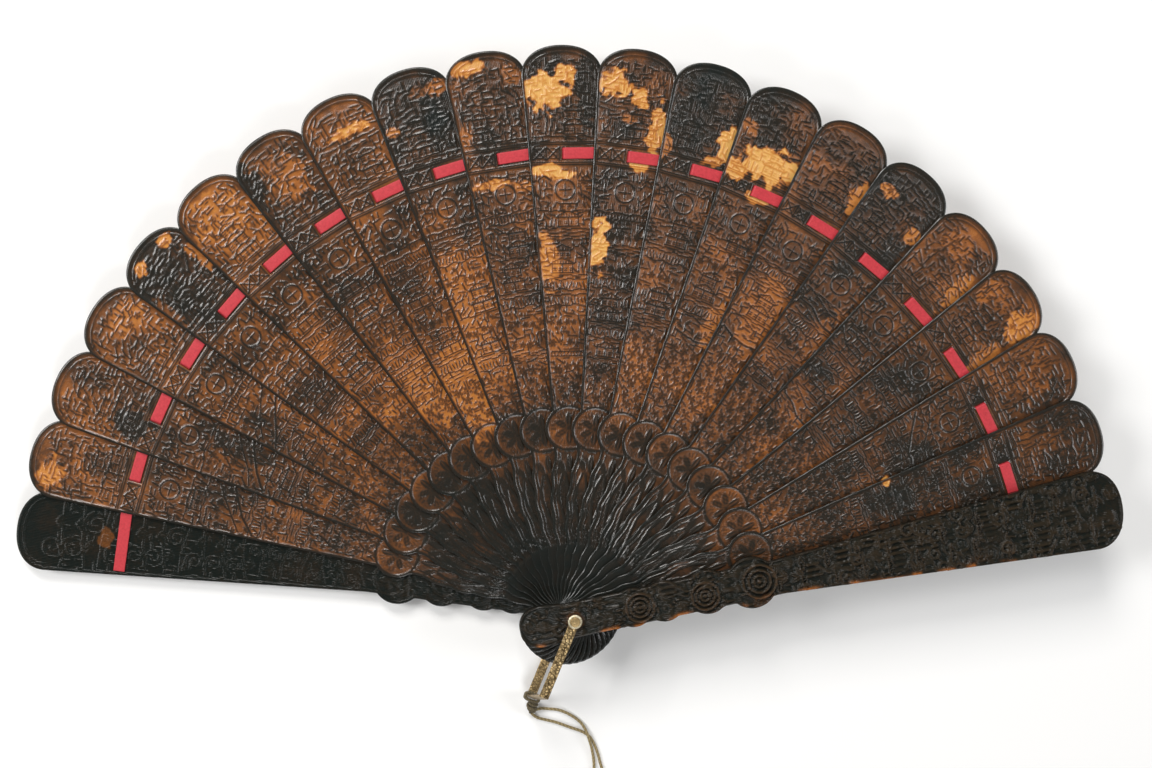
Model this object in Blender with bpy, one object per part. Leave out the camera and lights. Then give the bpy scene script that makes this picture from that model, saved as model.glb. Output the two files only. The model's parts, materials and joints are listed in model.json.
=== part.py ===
import math

import bmesh
import bpy
from mathutils import Vector
from mathutils.geometry import tessellate_polygon

# Carved tortoiseshell brise fan, fully open and lying on its back.
# The rivet's axis is Z through the origin, and the surface that the fan lies on is z = 0.
# Each blade is drawn in its own frame: rivet at the origin, tip along +Y, lower face at z = 0.

MM = 0.001

# The fan
STICK_COUNT = 19                        # sticks between the two guards
BLADE_STEP = math.radians(8.0)          # turn from one blade to the next, fully open
REAR_GUARD_ANGLE = math.radians(171.1)  # direction of the lowest blade, from +X
TIP_RADIUS = 180.0 * MM                 # rivet to the end of every blade
LAYER_GAP = 0.3 * MM                    # free space between neighbouring layers
CIRCLE_SIDES = 24
SMOOTH_ANGLE = math.radians(35)         # edges flatter than this are shaded smooth

# Sticks
STICK_THICKNESS = 0.65 * MM
EDGE_OVERLAP = 0.8 * MM                 # each side edge reaches this far past the half step
TIP_HEIGHT = 9.7 * MM                   # rounded end beyond the straight edges
TIP_ROUNDNESS = 2.2                     # exponent of the tip's superellipse
GORGE_HALF_WIDTH = 4.7 * MM
GORGE_WAVE = 0.25 * MM
GORGE_WAVE_PITCH = 9.0 * MM
LEAF_START = 22.0 * MM                  # the gorge swells to a leaf between these two places
LEAF_END = 52.0 * MM
LEAF_SWELL = 1.5 * MM
MEDALLION_RADIUS = 7.6 * MM
MEDALLION_PLACE = 59.5 * MM             # rivet to the medallion's centre
HEAD_LENGTH = 17.5 * MM                 # every blade beyond the rivet
STICK_HEAD_EXPONENT = 0.6               # below 1 the head is fuller than a half ellipse
HEAD_STEPS = 8                          # outline points round one side of the head
PLAIN_SPACING = 3.0 * MM                # between outline points along a blade
BOSS_STEPS = 10
TIP_STEPS = 9

# Guards
REAR_GUARD_THICKNESS = 2.5 * MM
FRONT_GUARD_THICKNESS = 3.2 * MM
GUARD_NECK_HALF_WIDTH = 5.5 * MM
GUARD_HEAD_HALF_WIDTH = 7.2 * MM
GUARD_HEAD_EXPONENT = 0.5
# Round bosses along a guard's lower part: distance from the rivet, radius
GUARD_BOSSES = ((19.0 * MM, 6.2 * MM), (29.0 * MM, 6.5 * MM), (43.0 * MM, 7.0 * MM), (57.5 * MM, 8.2 * MM))

# Ribbon
RIBBON_RADIUS = 146.5 * MM              # rivet to the middle of the ribbon's band
RIBBON_WIDTH = 3.6 * MM
RIBBON_THICKNESS = 0.08 * MM
RIBBON_LIFT = 0.05 * MM                 # between the ribbon and the shell under it
RIBBON_END_MARGIN = 1.3 * MM            # bare shell left beside the ribbon's first end
SLOT_WIDTH = 0.8 * MM
SLOT_END_GAP = 0.3 * MM                 # at each end of a slot, past the ribbon's edge

# Rivet
RIVET_RADIUS = 1.15 * MM
RIVET_CLEARANCE = 0.1 * MM              # all round, in every blade and both bail eyes
RIVET_HEAD_RADIUS = 2.4 * MM
RIVET_HEAD_THICKNESS = 0.6 * MM
RIVET_PEEN_OVERHANG = 0.3 * MM
RIVET_PEEN_THICKNESS = 0.4 * MM

# Bail: one flat strap bent to a U, with its rear arm longer than its front arm
BAIL_ANGLE = math.radians(247.8)
BAIL_WIDTH = 3.0 * MM
BAIL_THICKNESS = 0.6 * MM
BAIL_FRONT_ARM = 26.2 * MM
BAIL_REAR_ARM = 35.6 * MM
EYE_WALL = 0.9 * MM
EYE_THICKNESS = 0.8 * MM

# Wrist cord
CORD_DIAMETER = 1.0 * MM
CORD_POINT_SPACING = 2.0 * CORD_DIAMETER
CURVE_SUBSTEPS = 20                     # between two route points, while a route is smoothed
KNOT_HEIGHT = 4.2 * MM                  # of the knot's middle along the bail's crossbar
KNOT_LENGTH = 3.6 * MM
KNOT_WALL = 0.9 * MM
CORD_GAP = 0.3 * MM                     # where cord pieces meet
COIL_CENTRE = (12.2 * MM, -72.5 * MM)
COIL_MEAN_RADIUS = 5.5 * MM
COIL_TURNS_BESIDE = 3
COIL_LAYERS = 2
TIE_THICKNESS = 0.5 * MM
TIE_WIDTH = 1.6 * MM

# Routes of the two cord strands from the knot to the coil, in millimetres (x, y, z)
STRAND_A_ROUTE = ((-12.6, -37.2, 1.9), (-10.9, -36.9, 1.1), (-9.0, -36.9, 0.6), (-7.2, -37.1, 0.55),
                  (-4.1, -37.5, 0.55), (-0.7, -38.9, 0.55), (2.4, -41.0, 0.55), (4.3, -43.0, 0.7),
                  (5.7, -45.6, 1.45), (6.5, -48.0, 1.6), (7.4, -51.4, 0.9), (8.0, -55.3, 0.6),
                  (8.1, -58.2, 0.6), (7.8, -62.0, 0.9), (7.3, -65.9, 1.2))
STRAND_B_ROUTE = ((-13.1, -38.0, 1.6), (-12.2, -39.2, 0.8), (-10.6, -40.2, 0.55), (-8.0, -40.9, 0.55),
                  (-4.5, -41.9, 0.55), (0.1, -43.7, 0.55), (4.0, -45.2, 0.55), (6.6, -47.1, 0.55),
                  (8.3, -50.0, 0.55), (9.5, -53.3, 0.55), (10.3, -56.6, 0.55), (11.5, -60.0, 0.7),
                  (13.4, -62.8, 1.0), (15.4, -65.0, 1.2))

# Heights of the layers, from the surface up
REAR_EYE_Z = RIVET_HEAD_THICKNESS + LAYER_GAP
REAR_GUARD_Z = REAR_EYE_Z + EYE_THICKNESS + LAYER_GAP
LAYER_PITCH = STICK_THICKNESS + LAYER_GAP
FIRST_STICK_Z = REAR_GUARD_Z + REAR_GUARD_THICKNESS + LAYER_GAP
FRONT_GUARD_Z = FIRST_STICK_Z + STICK_COUNT * LAYER_PITCH
FRONT_EYE_Z = FRONT_GUARD_Z + FRONT_GUARD_THICKNESS + LAYER_GAP
PEEN_Z = FRONT_EYE_Z + EYE_THICKNESS + LAYER_GAP
HOLE_RADIUS = (RIVET_RADIUS + RIVET_CLEARANCE) / math.cos(math.pi / CIRCLE_SIDES)

DARK_SHELL = (0.035, 0.028, 0.022)
BROWN_SHELL = (0.13, 0.055, 0.022)
AMBER_SHELL = (0.36, 0.13, 0.035)
STICK_COLOURS = (AMBER_SHELL, AMBER_SHELL, BROWN_SHELL, DARK_SHELL, AMBER_SHELL, BROWN_SHELL,
                 AMBER_SHELL, DARK_SHELL, BROWN_SHELL, AMBER_SHELL, AMBER_SHELL, DARK_SHELL,
                 AMBER_SHELL, BROWN_SHELL, DARK_SHELL, AMBER_SHELL, AMBER_SHELL, BROWN_SHELL,
                 BROWN_SHELL)


def clear_scene():
    for scene_object in list(bpy.data.objects):
        bpy.data.objects.remove(scene_object, do_unlink=True)


def make_material(name, colour, roughness, metallic=0.0):
    material = bpy.data.materials.new(name)
    material.use_nodes = True
    shader = material.node_tree.nodes["Principled BSDF"]
    shader.inputs["Base Color"].default_value = (*colour, 1.0)
    shader.inputs["Roughness"].default_value = roughness
    shader.inputs["Metallic"].default_value = metallic
    return material


def add_object(name, mesh, material, parent=None):
    mesh.materials.append(material)
    mesh.shade_smooth()
    mesh.set_sharp_from_angle(angle=SMOOTH_ANGLE)
    new_object = bpy.data.objects.new(name, mesh)
    bpy.context.collection.objects.link(new_object)
    new_object.parent = parent
    return new_object


def circle(radius, centre=(0.0, 0.0), sides=CIRCLE_SIDES):
    turns = [2 * math.pi * side / sides for side in range(sides)]
    return [(centre[0] + radius * math.cos(turn), centre[1] + radius * math.sin(turn)) for turn in turns]


def rectangle(half_width, half_height, centre=(0.0, 0.0)):
    corners = ((-1, -1), (1, -1), (1, 1), (-1, 1))
    return [(centre[0] + side * half_width, centre[1] + end * half_height) for side, end in corners]


# A plate between two heights, from its outline and the outlines of its holes
def make_plate(name, outlines, low, high):
    mesh_builder = bmesh.new()
    flat_points = [point for outline in outlines for point in outline]
    rings = []
    for height in (low, high):
        rings.append([mesh_builder.verts.new((x, y, height)) for x, y in flat_points])
    fill = tessellate_polygon([[Vector((x, y, 0)) for x, y in outline] for outline in outlines])
    for ring in rings:
        for triangle in fill:
            mesh_builder.faces.new([ring[corner] for corner in triangle])
    first = 0
    for outline in outlines:
        for step in range(len(outline)):
            here, after = first + step, first + (step + 1) % len(outline)
            mesh_builder.faces.new((rings[0][here], rings[0][after], rings[1][after], rings[1][here]))
        first += len(outline)
    bmesh.ops.recalc_face_normals(mesh_builder, faces=mesh_builder.faces)
    mesh = bpy.data.meshes.new(name)
    mesh_builder.to_mesh(mesh)
    mesh_builder.free()
    return mesh


# A profile of (along Y, along Z) points, extruded across X
def make_strap(name, profile, half_width):
    mesh = make_plate(name, profile, -half_width, half_width)
    for vertex in mesh.vertices:
        along, up, across = vertex.co
        vertex.co = (across, along, up)
    return mesh


# A solid of revolution about Z, from (radius, height) points that start and end on the axis
def make_turned(name, profile):
    mesh_builder = bmesh.new()
    rings = []
    for radius, height in profile:
        if radius == 0:
            rings.append([mesh_builder.verts.new((0, 0, height))])
        else:
            rings.append([mesh_builder.verts.new((x, y, height)) for x, y in circle(radius)])
    for lower, upper in zip(rings, rings[1:]):
        for side in range(CIRCLE_SIDES):
            after = (side + 1) % CIRCLE_SIDES
            corners = [lower[side % len(lower)], lower[after % len(lower)],
                       upper[after % len(upper)], upper[side % len(upper)]]
            mesh_builder.faces.new(list(dict.fromkeys(corners)))
    bmesh.ops.recalc_face_normals(mesh_builder, faces=mesh_builder.faces)
    mesh = bpy.data.meshes.new(name)
    mesh_builder.to_mesh(mesh)
    mesh_builder.free()
    return mesh


def wedge_half_width(radius):
    return radius * math.tan(BLADE_STEP / 2) + EDGE_OVERLAP


# Half the width of a round boss of the given size and place, at a distance from the rivet
def boss_half_width(radius, place, size):
    return math.sqrt(max(size ** 2 - (radius - place) ** 2, 0.0))


def gorge_half_width(radius):
    leaf_share = min(max((radius - LEAF_START) / (LEAF_END - LEAF_START), 0.0), 1.0)
    wave = GORGE_WAVE * math.cos(2 * math.pi * radius / GORGE_WAVE_PITCH)
    return GORGE_HALF_WIDTH + wave + LEAF_SWELL * math.sin(math.pi * leaf_share)


def stick_half_width(radius):
    body = gorge_half_width(radius) if radius < MEDALLION_PLACE else wedge_half_width(radius)
    return max(body, boss_half_width(radius, MEDALLION_PLACE, MEDALLION_RADIUS))


def guard_half_width(radius):
    bosses = [boss_half_width(radius, place, size) for place, size in GUARD_BOSSES]
    return max(GUARD_NECK_HALF_WIDTH, wedge_half_width(radius), *bosses)


# Places along a blade from the rivet up, closer together on its round bosses
def blade_places(bosses):
    last_centre = bosses[-1][0]
    places = {PLAIN_SPACING * step for step in range(int(last_centre / PLAIN_SPACING))}
    for centre, size in bosses:
        for step in range(BOSS_STEPS + 1):
            places.add(centre - size * math.cos(math.pi * step / BOSS_STEPS))
    return sorted(places)


# One side of a blade from head to tip: points (half width, distance from the rivet)
def blade_side(half_width, head_half_width, head_exponent, bosses):
    points = []
    neck_width = half_width(0.0)
    for step in range(1, HEAD_STEPS):
        turn = math.pi / 2 * (1 - step / HEAD_STEPS)
        width = neck_width * math.cos(turn) ** head_exponent
        width += (head_half_width - neck_width) * math.sin(2 * turn) ** 2
        points.append((width, -HEAD_LENGTH * math.sin(turn)))
    points += [(half_width(place), place) for place in blade_places(bosses)]
    shoulder = TIP_RADIUS - TIP_HEIGHT
    for step in range(TIP_STEPS):
        turn = math.pi / 2 * step / TIP_STEPS
        width = wedge_half_width(shoulder) * math.cos(turn) ** (2 / TIP_ROUNDNESS)
        points.append((width, shoulder + TIP_HEIGHT * math.sin(turn) ** (2 / TIP_ROUNDNESS)))
    return points


def blade_outline(side):
    left = [(-width, place) for width, place in reversed(side)]
    return [(0.0, -HEAD_LENGTH), *side, (0.0, TIP_RADIUS), *left]


def stick_outline():
    bosses = [(MEDALLION_PLACE, MEDALLION_RADIUS)]
    neck = stick_half_width(0.0)
    return blade_outline(blade_side(stick_half_width, neck, STICK_HEAD_EXPONENT, bosses))


def guard_outline():
    head = GUARD_HEAD_HALF_WIDTH
    return blade_outline(blade_side(guard_half_width, head, GUARD_HEAD_EXPONENT, GUARD_BOSSES))


def rivet_hole():
    return circle(HOLE_RADIUS)


def ribbon_slot():
    return rectangle(SLOT_WIDTH / 2, RIBBON_WIDTH / 2 + SLOT_END_GAP, (0.0, RIBBON_RADIUS))


def place_blade(name, outlines, thickness, number, height, material):
    blade = add_object(name, make_plate(name, outlines, 0.0, thickness), material)
    blade.rotation_euler.z = REAR_GUARD_ANGLE - number * BLADE_STEP - math.pi / 2
    blade.location.z = height
    return blade


# The ribbon's stretch on one blade: behind its left half, up through the slot, over its right half
def add_ribbon(name, blade, thickness, material, first=False, last=False):
    top = thickness + RIBBON_LIFT
    bottom = -RIBBON_LIFT
    half = RIBBON_THICKNESS / 2
    right = wedge_half_width(RIBBON_RADIUS) - LAYER_GAP
    left = RIBBON_RADIUS * math.tan(BLADE_STEP / 2)
    if first:
        start = RIBBON_END_MARGIN - wedge_half_width(RIBBON_RADIUS)
        profile = rectangle((right - start) / 2, half, ((right + start) / 2, top + half))
    elif last:
        profile = rectangle(left / 2, half, (-left / 2, bottom - half))
    else:
        profile = [(-left, bottom - 2 * half), (half, bottom - 2 * half), (half, top), (right, top),
                   (right, top + 2 * half), (-half, top + 2 * half), (-half, bottom), (-left, bottom)]
    mesh = make_plate(name, [profile], -RIBBON_WIDTH / 2, RIBBON_WIDTH / 2)
    for vertex in mesh.vertices:
        across, up, along = vertex.co
        vertex.co = (across, RIBBON_RADIUS + along, up)
    mesh.flip_normals()
    return add_object(name, mesh, material, blade)


def add_blades():
    hole = rivet_hole()
    ribbon = make_material("ribbon", (0.62, 0.035, 0.07), 0.6)
    guard_shell = make_material("guard_shell", DARK_SHELL, 0.3)
    rear = place_blade("rear_guard", [guard_outline(), hole], REAR_GUARD_THICKNESS, 0,
                       REAR_GUARD_Z, guard_shell)
    add_ribbon("ribbon_00", rear, REAR_GUARD_THICKNESS, ribbon, first=True)
    for number in range(1, STICK_COUNT + 1):
        colour = STICK_COLOURS[(number - 1) % len(STICK_COLOURS)]
        shell = make_material(f"stick_shell_{number:02d}", colour, 0.25)
        height = FIRST_STICK_Z + (number - 1) * LAYER_PITCH
        outlines = [stick_outline(), hole, ribbon_slot()]
        stick = place_blade(f"stick_{number:02d}", outlines, STICK_THICKNESS, number, height, shell)
        add_ribbon(f"ribbon_{number:02d}", stick, STICK_THICKNESS, ribbon)
    last = STICK_COUNT + 1
    front = place_blade("front_guard", [guard_outline(), hole], FRONT_GUARD_THICKNESS, last,
                        FRONT_GUARD_Z, guard_shell)
    add_ribbon(f"ribbon_{last:02d}", front, FRONT_GUARD_THICKNESS, ribbon, last=True)


# One headed pin through the whole stack, its front end peened over
def add_rivet(brass):
    peen_radius = HOLE_RADIUS + RIVET_PEEN_OVERHANG
    profile = ((0, 0), (RIVET_HEAD_RADIUS, 0), (RIVET_HEAD_RADIUS, RIVET_HEAD_THICKNESS),
               (RIVET_RADIUS, RIVET_HEAD_THICKNESS), (RIVET_RADIUS, PEEN_Z), (peen_radius, PEEN_Z),
               (peen_radius, PEEN_Z + RIVET_PEEN_THICKNESS), (0, PEEN_Z + RIVET_PEEN_THICKNESS))
    add_object("rivet", make_turned("rivet", profile), brass)


def bail_arm_heights():
    return REAR_EYE_Z + EYE_THICKNESS / 2, FRONT_EYE_Z + EYE_THICKNESS / 2


# The bail's crossbar as a start point at the front arm and a unit direction, in (along, up)
def crossbar():
    rear_height, front_height = bail_arm_heights()
    front = Vector((BAIL_FRONT_ARM - BAIL_THICKNESS / 2, front_height))
    rear = Vector((BAIL_REAR_ARM - BAIL_THICKNESS / 2, rear_height))
    return front, (rear - front).normalized(), rear


# The strap's centre line moved sideways, with mitred corners at both ends of the crossbar
def strap_edge(offset, arm_start):
    rear_height, front_height = bail_arm_heights()
    front, direction, rear = crossbar()
    mitre = offset * math.tan((math.pi / 2 - math.atan2(direction.x, -direction.y)) / 2)
    return [Vector((arm_start, front_height + offset)), front + Vector((mitre, offset)),
            rear + Vector((offset ** 2 / mitre, -offset)), Vector((arm_start, rear_height - offset))]


def add_boolean(target, operation, tool):
    modifier = target.modifiers.new(tool.name, "BOOLEAN")
    modifier.operation = operation
    modifier.object = tool
    tool.hide_render = True
    tool.display_type = "WIRE"


def add_bail(brass):
    arm_start = HOLE_RADIUS + EYE_WALL / 2
    outer = strap_edge(BAIL_THICKNESS / 2, arm_start)
    inner = strap_edge(-BAIL_THICKNESS / 2, arm_start)
    profile = [tuple(point) for point in [*outer, *reversed(inner)]]
    bail = add_object("bail", make_strap("bail", [profile], BAIL_WIDTH / 2), brass)
    for name, height in (("rear_eye_tool", REAR_EYE_Z), ("front_eye_tool", FRONT_EYE_Z)):
        outlines = [circle(HOLE_RADIUS + EYE_WALL), rivet_hole()]
        eye_mesh = make_plate(name, outlines, height, height + EYE_THICKNESS)
        add_boolean(bail, "UNION", add_object(name, eye_mesh, brass, bail))
    bail.rotation_euler.z = BAIL_ANGLE - math.pi / 2
    return bail


# The hitch that ties the cord to the crossbar: a closed band round the strap
def add_knot(bail, cord_material):
    front, direction, rear = crossbar()
    middle = rear - direction * ((KNOT_HEIGHT - rear.y) / -direction.y)
    inner = (BAIL_WIDTH / 2 + CORD_GAP, BAIL_THICKNESS / 2 + CORD_GAP)
    outlines = [rectangle(inner[0] + KNOT_WALL, inner[1] + KNOT_WALL), rectangle(*inner)]
    mesh = make_plate("cord_knot", outlines, -KNOT_LENGTH / 2, KNOT_LENGTH / 2)
    knot = add_object("cord_knot", mesh, cord_material, bail)
    knot.location = (0.0, middle.x, middle.y)
    knot.rotation_euler.x = math.atan2(direction.x, -direction.y)
    return knot


# A smooth curve through the route's points, as points at an even spacing
def smooth_route(route, spacing):
    points = [Vector(point) * MM for point in route]
    ends = [2 * points[0] - points[1], *points, 2 * points[-1] - points[-2]]
    fine = []
    for before, start, finish, after in zip(ends, ends[1:], ends[2:], ends[3:]):
        for step in range(CURVE_SUBSTEPS):
            t = step / CURVE_SUBSTEPS
            fine.append(0.5 * (2 * start + (finish - before) * t
                               + (2 * before - 5 * start + 4 * finish - after) * t ** 2
                               + (3 * start - before - 3 * finish + after) * t ** 3))
    fine.append(points[-1])
    even = [fine[0]]
    for point in fine:
        if (point - even[-1]).length >= spacing:
            even.append(point)
    return even


def add_strand(name, route, material):
    points = smooth_route(route, CORD_POINT_SPACING)
    curve = bpy.data.curves.new(name, "CURVE")
    curve.dimensions = "3D"
    curve.bevel_depth = CORD_DIAMETER / 2
    curve.bevel_resolution = 2
    curve.use_fill_caps = True
    spline = curve.splines.new("POLY")
    spline.points.add(len(points) - 1)
    for spline_point, point in zip(spline.points, points):
        spline_point.co = (*point, 1.0)
    curve.materials.append(material)
    strand = bpy.data.objects.new(name, curve)
    bpy.context.collection.objects.link(strand)


def coil_half_width():
    return COIL_TURNS_BESIDE * CORD_DIAMETER / 2


def add_coil(material):
    half = coil_half_width()
    height = COIL_LAYERS * CORD_DIAMETER
    base = TIE_THICKNESS + CORD_GAP
    outlines = [circle(COIL_MEAN_RADIUS + half), circle(COIL_MEAN_RADIUS - half)]
    coil = add_object("cord_coil", make_plate("cord_coil", outlines, base, base + height), material)
    coil.location = (*COIL_CENTRE, 0.0)
    inner = (half + CORD_GAP, height / 2 + CORD_GAP)
    tie_outlines = [rectangle(inner[0] + TIE_THICKNESS, inner[1] + TIE_THICKNESS), rectangle(*inner)]
    tie_mesh = make_plate("cord_tie", tie_outlines, -TIE_WIDTH / 2, TIE_WIDTH / 2)
    for vertex in tie_mesh.vertices:
        along, up, across = vertex.co
        vertex.co = (across, along, up)
    tie = add_object("cord_tie", tie_mesh, material, coil)
    tie.location = (0.0, -COIL_MEAN_RADIUS, base + height / 2)


def build_fan():
    clear_scene()
    brass = make_material("gilt_brass", (0.48, 0.31, 0.12), 0.4, 0.9)
    cord_material = make_material("cord", (0.42, 0.34, 0.17), 0.8)
    add_blades()
    add_rivet(brass)
    bail = add_bail(brass)
    add_knot(bail, cord_material)
    add_strand("cord_strand_a", STRAND_A_ROUTE, cord_material)
    add_strand("cord_strand_b", STRAND_B_ROUTE, cord_material)
    add_coil(cord_material)


build_fan()
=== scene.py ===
import json
import math

import bmesh
import bpy
import numpy as np
from mathutils import Matrix, Vector


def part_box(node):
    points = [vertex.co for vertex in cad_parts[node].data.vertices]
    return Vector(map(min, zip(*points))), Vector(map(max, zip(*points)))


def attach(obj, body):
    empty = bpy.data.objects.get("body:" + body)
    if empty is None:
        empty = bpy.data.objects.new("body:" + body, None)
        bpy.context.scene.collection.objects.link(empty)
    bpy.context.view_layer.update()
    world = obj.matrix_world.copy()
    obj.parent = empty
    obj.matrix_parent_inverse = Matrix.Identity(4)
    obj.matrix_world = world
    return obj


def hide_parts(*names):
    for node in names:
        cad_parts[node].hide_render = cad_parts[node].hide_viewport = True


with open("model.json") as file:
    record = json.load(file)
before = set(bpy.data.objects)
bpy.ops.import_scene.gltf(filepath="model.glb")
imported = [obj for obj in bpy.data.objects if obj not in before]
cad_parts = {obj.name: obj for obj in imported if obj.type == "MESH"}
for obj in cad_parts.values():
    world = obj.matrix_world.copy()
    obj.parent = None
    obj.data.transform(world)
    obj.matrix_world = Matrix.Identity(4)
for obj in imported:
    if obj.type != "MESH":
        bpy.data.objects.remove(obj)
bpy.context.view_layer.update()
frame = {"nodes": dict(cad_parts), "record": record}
print("frame loaded")

mm = 0.001

# ---- the view first, then the cord, then the fan itself

viewSettings = {
    "lens": 37.5,
    "sensorWidth": 36.0,
    "place": (-0.02348, 0.10309, 0.39518),
    "tilt": (-4.401, -3.694, 0.0),  # degrees about X, Y, Z
    "nearestClip": 0.01,
}

lightSettings = {
    "worldColour": (1.0, 0.99, 0.97),
    "worldStrength": 0.13,
    "floorColour": (0.93, 0.93, 0.925),
    "floorHalfSize": 3.0,
    # name, place, aims at, size, watts, colour
    "panels": (
        ("backPanel", (-0.25, 0.95, 0.80), (-0.01, 0.08, 0.0), 0.40, 8.6, (1.0, 0.98, 0.95)),
        ("leftPanel", (-0.80, 0.35, 0.75), (-0.01, 0.08, 0.0), 0.36, 7.4, (1.0, 0.99, 0.98)),
        ("rightPanel", (1.12, 0.10, 0.62), (0.0, 0.08, 0.0), 0.50, 5.2, (0.97, 0.98, 1.0)),
        ("nearPanel", (0.10, -0.85, 0.80), (0.0, 0.05, 0.0), 0.45, 4.2, (1.0, 1.0, 1.0)),
    ),
}


def newMaterial(name):
    material = bpy.data.materials.new(name)
    material.use_nodes = True
    return material, material.node_tree, material.node_tree.nodes["Principled BSDF"]


def deselectAll():
    if bpy.context.object and bpy.context.object.mode != "OBJECT":
        bpy.ops.object.mode_set(mode="OBJECT")
    bpy.ops.object.select_all(action="DESELECT")


def selectOnly(piece):
    deselectAll()
    piece.select_set(True)
    bpy.context.view_layer.objects.active = piece


def newObject(name, data):
    item = bpy.data.objects.new(name, data)
    bpy.context.scene.collection.objects.link(item)
    return item


def placeCamera():
    cameraData = bpy.data.cameras.new("mainCamera")
    cameraData.lens = viewSettings["lens"]
    cameraData.sensor_width = viewSettings["sensorWidth"]
    cameraData.clip_start = viewSettings["nearestClip"]
    camera = newObject("mainCamera", cameraData)
    camera.location = viewSettings["place"]
    camera.rotation_euler = [math.radians(degrees) for degrees in viewSettings["tilt"]]
    bpy.context.scene.camera = camera


def placeLights():
    world = bpy.data.worlds.new("paleRoom")
    world.use_nodes = True
    background = world.node_tree.nodes["Background"]
    background.inputs["Color"].default_value = (*lightSettings["worldColour"], 1.0)
    background.inputs["Strength"].default_value = lightSettings["worldStrength"]
    bpy.context.scene.world = world
    for name, place, target, size, watts, colour in lightSettings["panels"]:
        lightData = bpy.data.lights.new(name, "AREA")
        lightData.size = size
        lightData.energy = watts
        lightData.color = colour
        panel = newObject(name, lightData)
        panel.location = place
        panel.rotation_euler = (Vector(target) - Vector(place)).to_track_quat("-Z", "Y").to_euler()


def placeFloor():
    deselectAll()
    bpy.ops.mesh.primitive_plane_add(size=2 * lightSettings["floorHalfSize"], location=(0, 0, -0.00002))
    floor = bpy.context.object
    floor.name = "paleFloor"
    material, tree, shader = newMaterial("palePaper")
    shader.inputs["Base Color"].default_value = (*lightSettings["floorColour"], 1.0)
    shader.inputs["Roughness"].default_value = 0.9
    shader.inputs["Specular IOR Level"].default_value = 0.1
    floor.data.materials.append(material)


placeCamera()
placeLights()
placeFloor()
bpy.context.scene.view_settings.view_transform = "Standard"
print("camera, lights and floor placed")


# ---- node helpers


def addNode(tree, kind, **settings):
    node = tree.nodes.new(kind)
    for key, value in settings.items():
        if key in node.inputs:
            node.inputs[key].default_value = value
        else:
            setattr(node, key, value)
    return node


def attributeNode(tree, name, output="Fac"):
    return addNode(tree, "ShaderNodeAttribute", attribute_name=name).outputs[output]


def textureNode(tree, kind, place, **settings):
    texture = addNode(tree, "ShaderNodeTex" + kind, **settings)
    tree.links.new(place, texture.inputs["Vector"])
    return texture.outputs["Distance" if kind == "Voronoi" else "Fac"]


def bandsNode(tree, place, direction, scale, distortion, **settings):
    return textureNode(tree, "Wave", place, wave_type="BANDS", bands_direction=direction, Scale=scale,
                       Distortion=distortion, **settings)


def finishShader(tree, shader, colour, height, strength, distance, values):
    tree.links.new(colour, shader.inputs["Base Color"])
    for key, value in values.items():
        shader.inputs[key].default_value = value
    bump = addNode(tree, "ShaderNodeBump", Strength=strength, Distance=distance)
    tree.links.new(height, bump.inputs["Height"])
    tree.links.new(bump.outputs["Normal"], shader.inputs["Normal"])


def mathNode(tree, operation, first, second=None, third=None, clamp=False):
    node = tree.nodes.new("ShaderNodeMath")
    node.operation = operation
    node.use_clamp = clamp
    for index, value in enumerate((first, second, third)):
        if value is None:
            continue
        if isinstance(value, (int, float)):
            node.inputs[index].default_value = value
        else:
            tree.links.new(value, node.inputs[index])
    return node.outputs[0]


def rampNode(tree, factor, stops):
    ramp = tree.nodes.new("ShaderNodeValToRGB")
    elements = ramp.color_ramp.elements
    for element, (position, colour) in zip(elements, (stops[0], stops[-1])):
        element.position, element.color = position, (*colour, 1)
    for position, colour in stops[1:-1]:
        elements.new(position).color = (*colour, 1)
    tree.links.new(factor, ramp.inputs["Fac"])
    return ramp.outputs["Color"]


def mixColours(tree, factor, first, second):
    node = tree.nodes.new("ShaderNodeMix")
    node.data_type = "RGBA"
    for socket, value in ((node.inputs["Factor"], factor), (node.inputs[6], first), (node.inputs[7], second)):
        if isinstance(value, (int, float)):
            socket.default_value = value
        elif isinstance(value, tuple):
            socket.default_value = (*value, 1)
        else:
            tree.links.new(value, socket)
    return node.outputs[2]


# ---- meshes from grids of points


def gridMesh(name, rows, columns):
    deselectAll()
    bpy.ops.mesh.primitive_grid_add(x_subdivisions=columns, y_subdivisions=rows, size=2, location=(0, 0, 0))
    piece = bpy.context.object
    piece.name = name
    piece.data.name = name
    places = np.zeros(len(piece.data.vertices) * 3)
    piece.data.vertices.foreach_get("co", places)
    places = places.reshape(-1, 3)
    column = np.rint((places[:, 0] + 1) / 2 * columns).astype(int)
    row = np.rint((places[:, 1] + 1) / 2 * rows).astype(int)
    return piece, row, column


def setPlaces(piece, places):
    piece.data.vertices.foreach_set("co", np.asarray(places, np.float32).ravel())
    piece.data.update()


def joinPieces(keep, others):
    selectOnly(keep)
    for piece in others:
        piece.select_set(True)
    bpy.ops.object.join()
    return keep


def editAll(piece):
    selectOnly(piece)
    bpy.ops.object.mode_set(mode="EDIT")
    bpy.ops.mesh.select_all(action="SELECT")


def storeNumbers(piece, name, values):
    attribute = piece.data.attributes.new(name, "FLOAT", "POINT")
    attribute.data.foreach_set("value", np.asarray(values, np.float32))


def storeVectors(piece, name, values):
    attribute = piece.data.attributes.new(name, "FLOAT_VECTOR", "POINT")
    attribute.data.foreach_set("vector", np.asarray(values, np.float32).ravel())


# ---- the wrist cord

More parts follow.
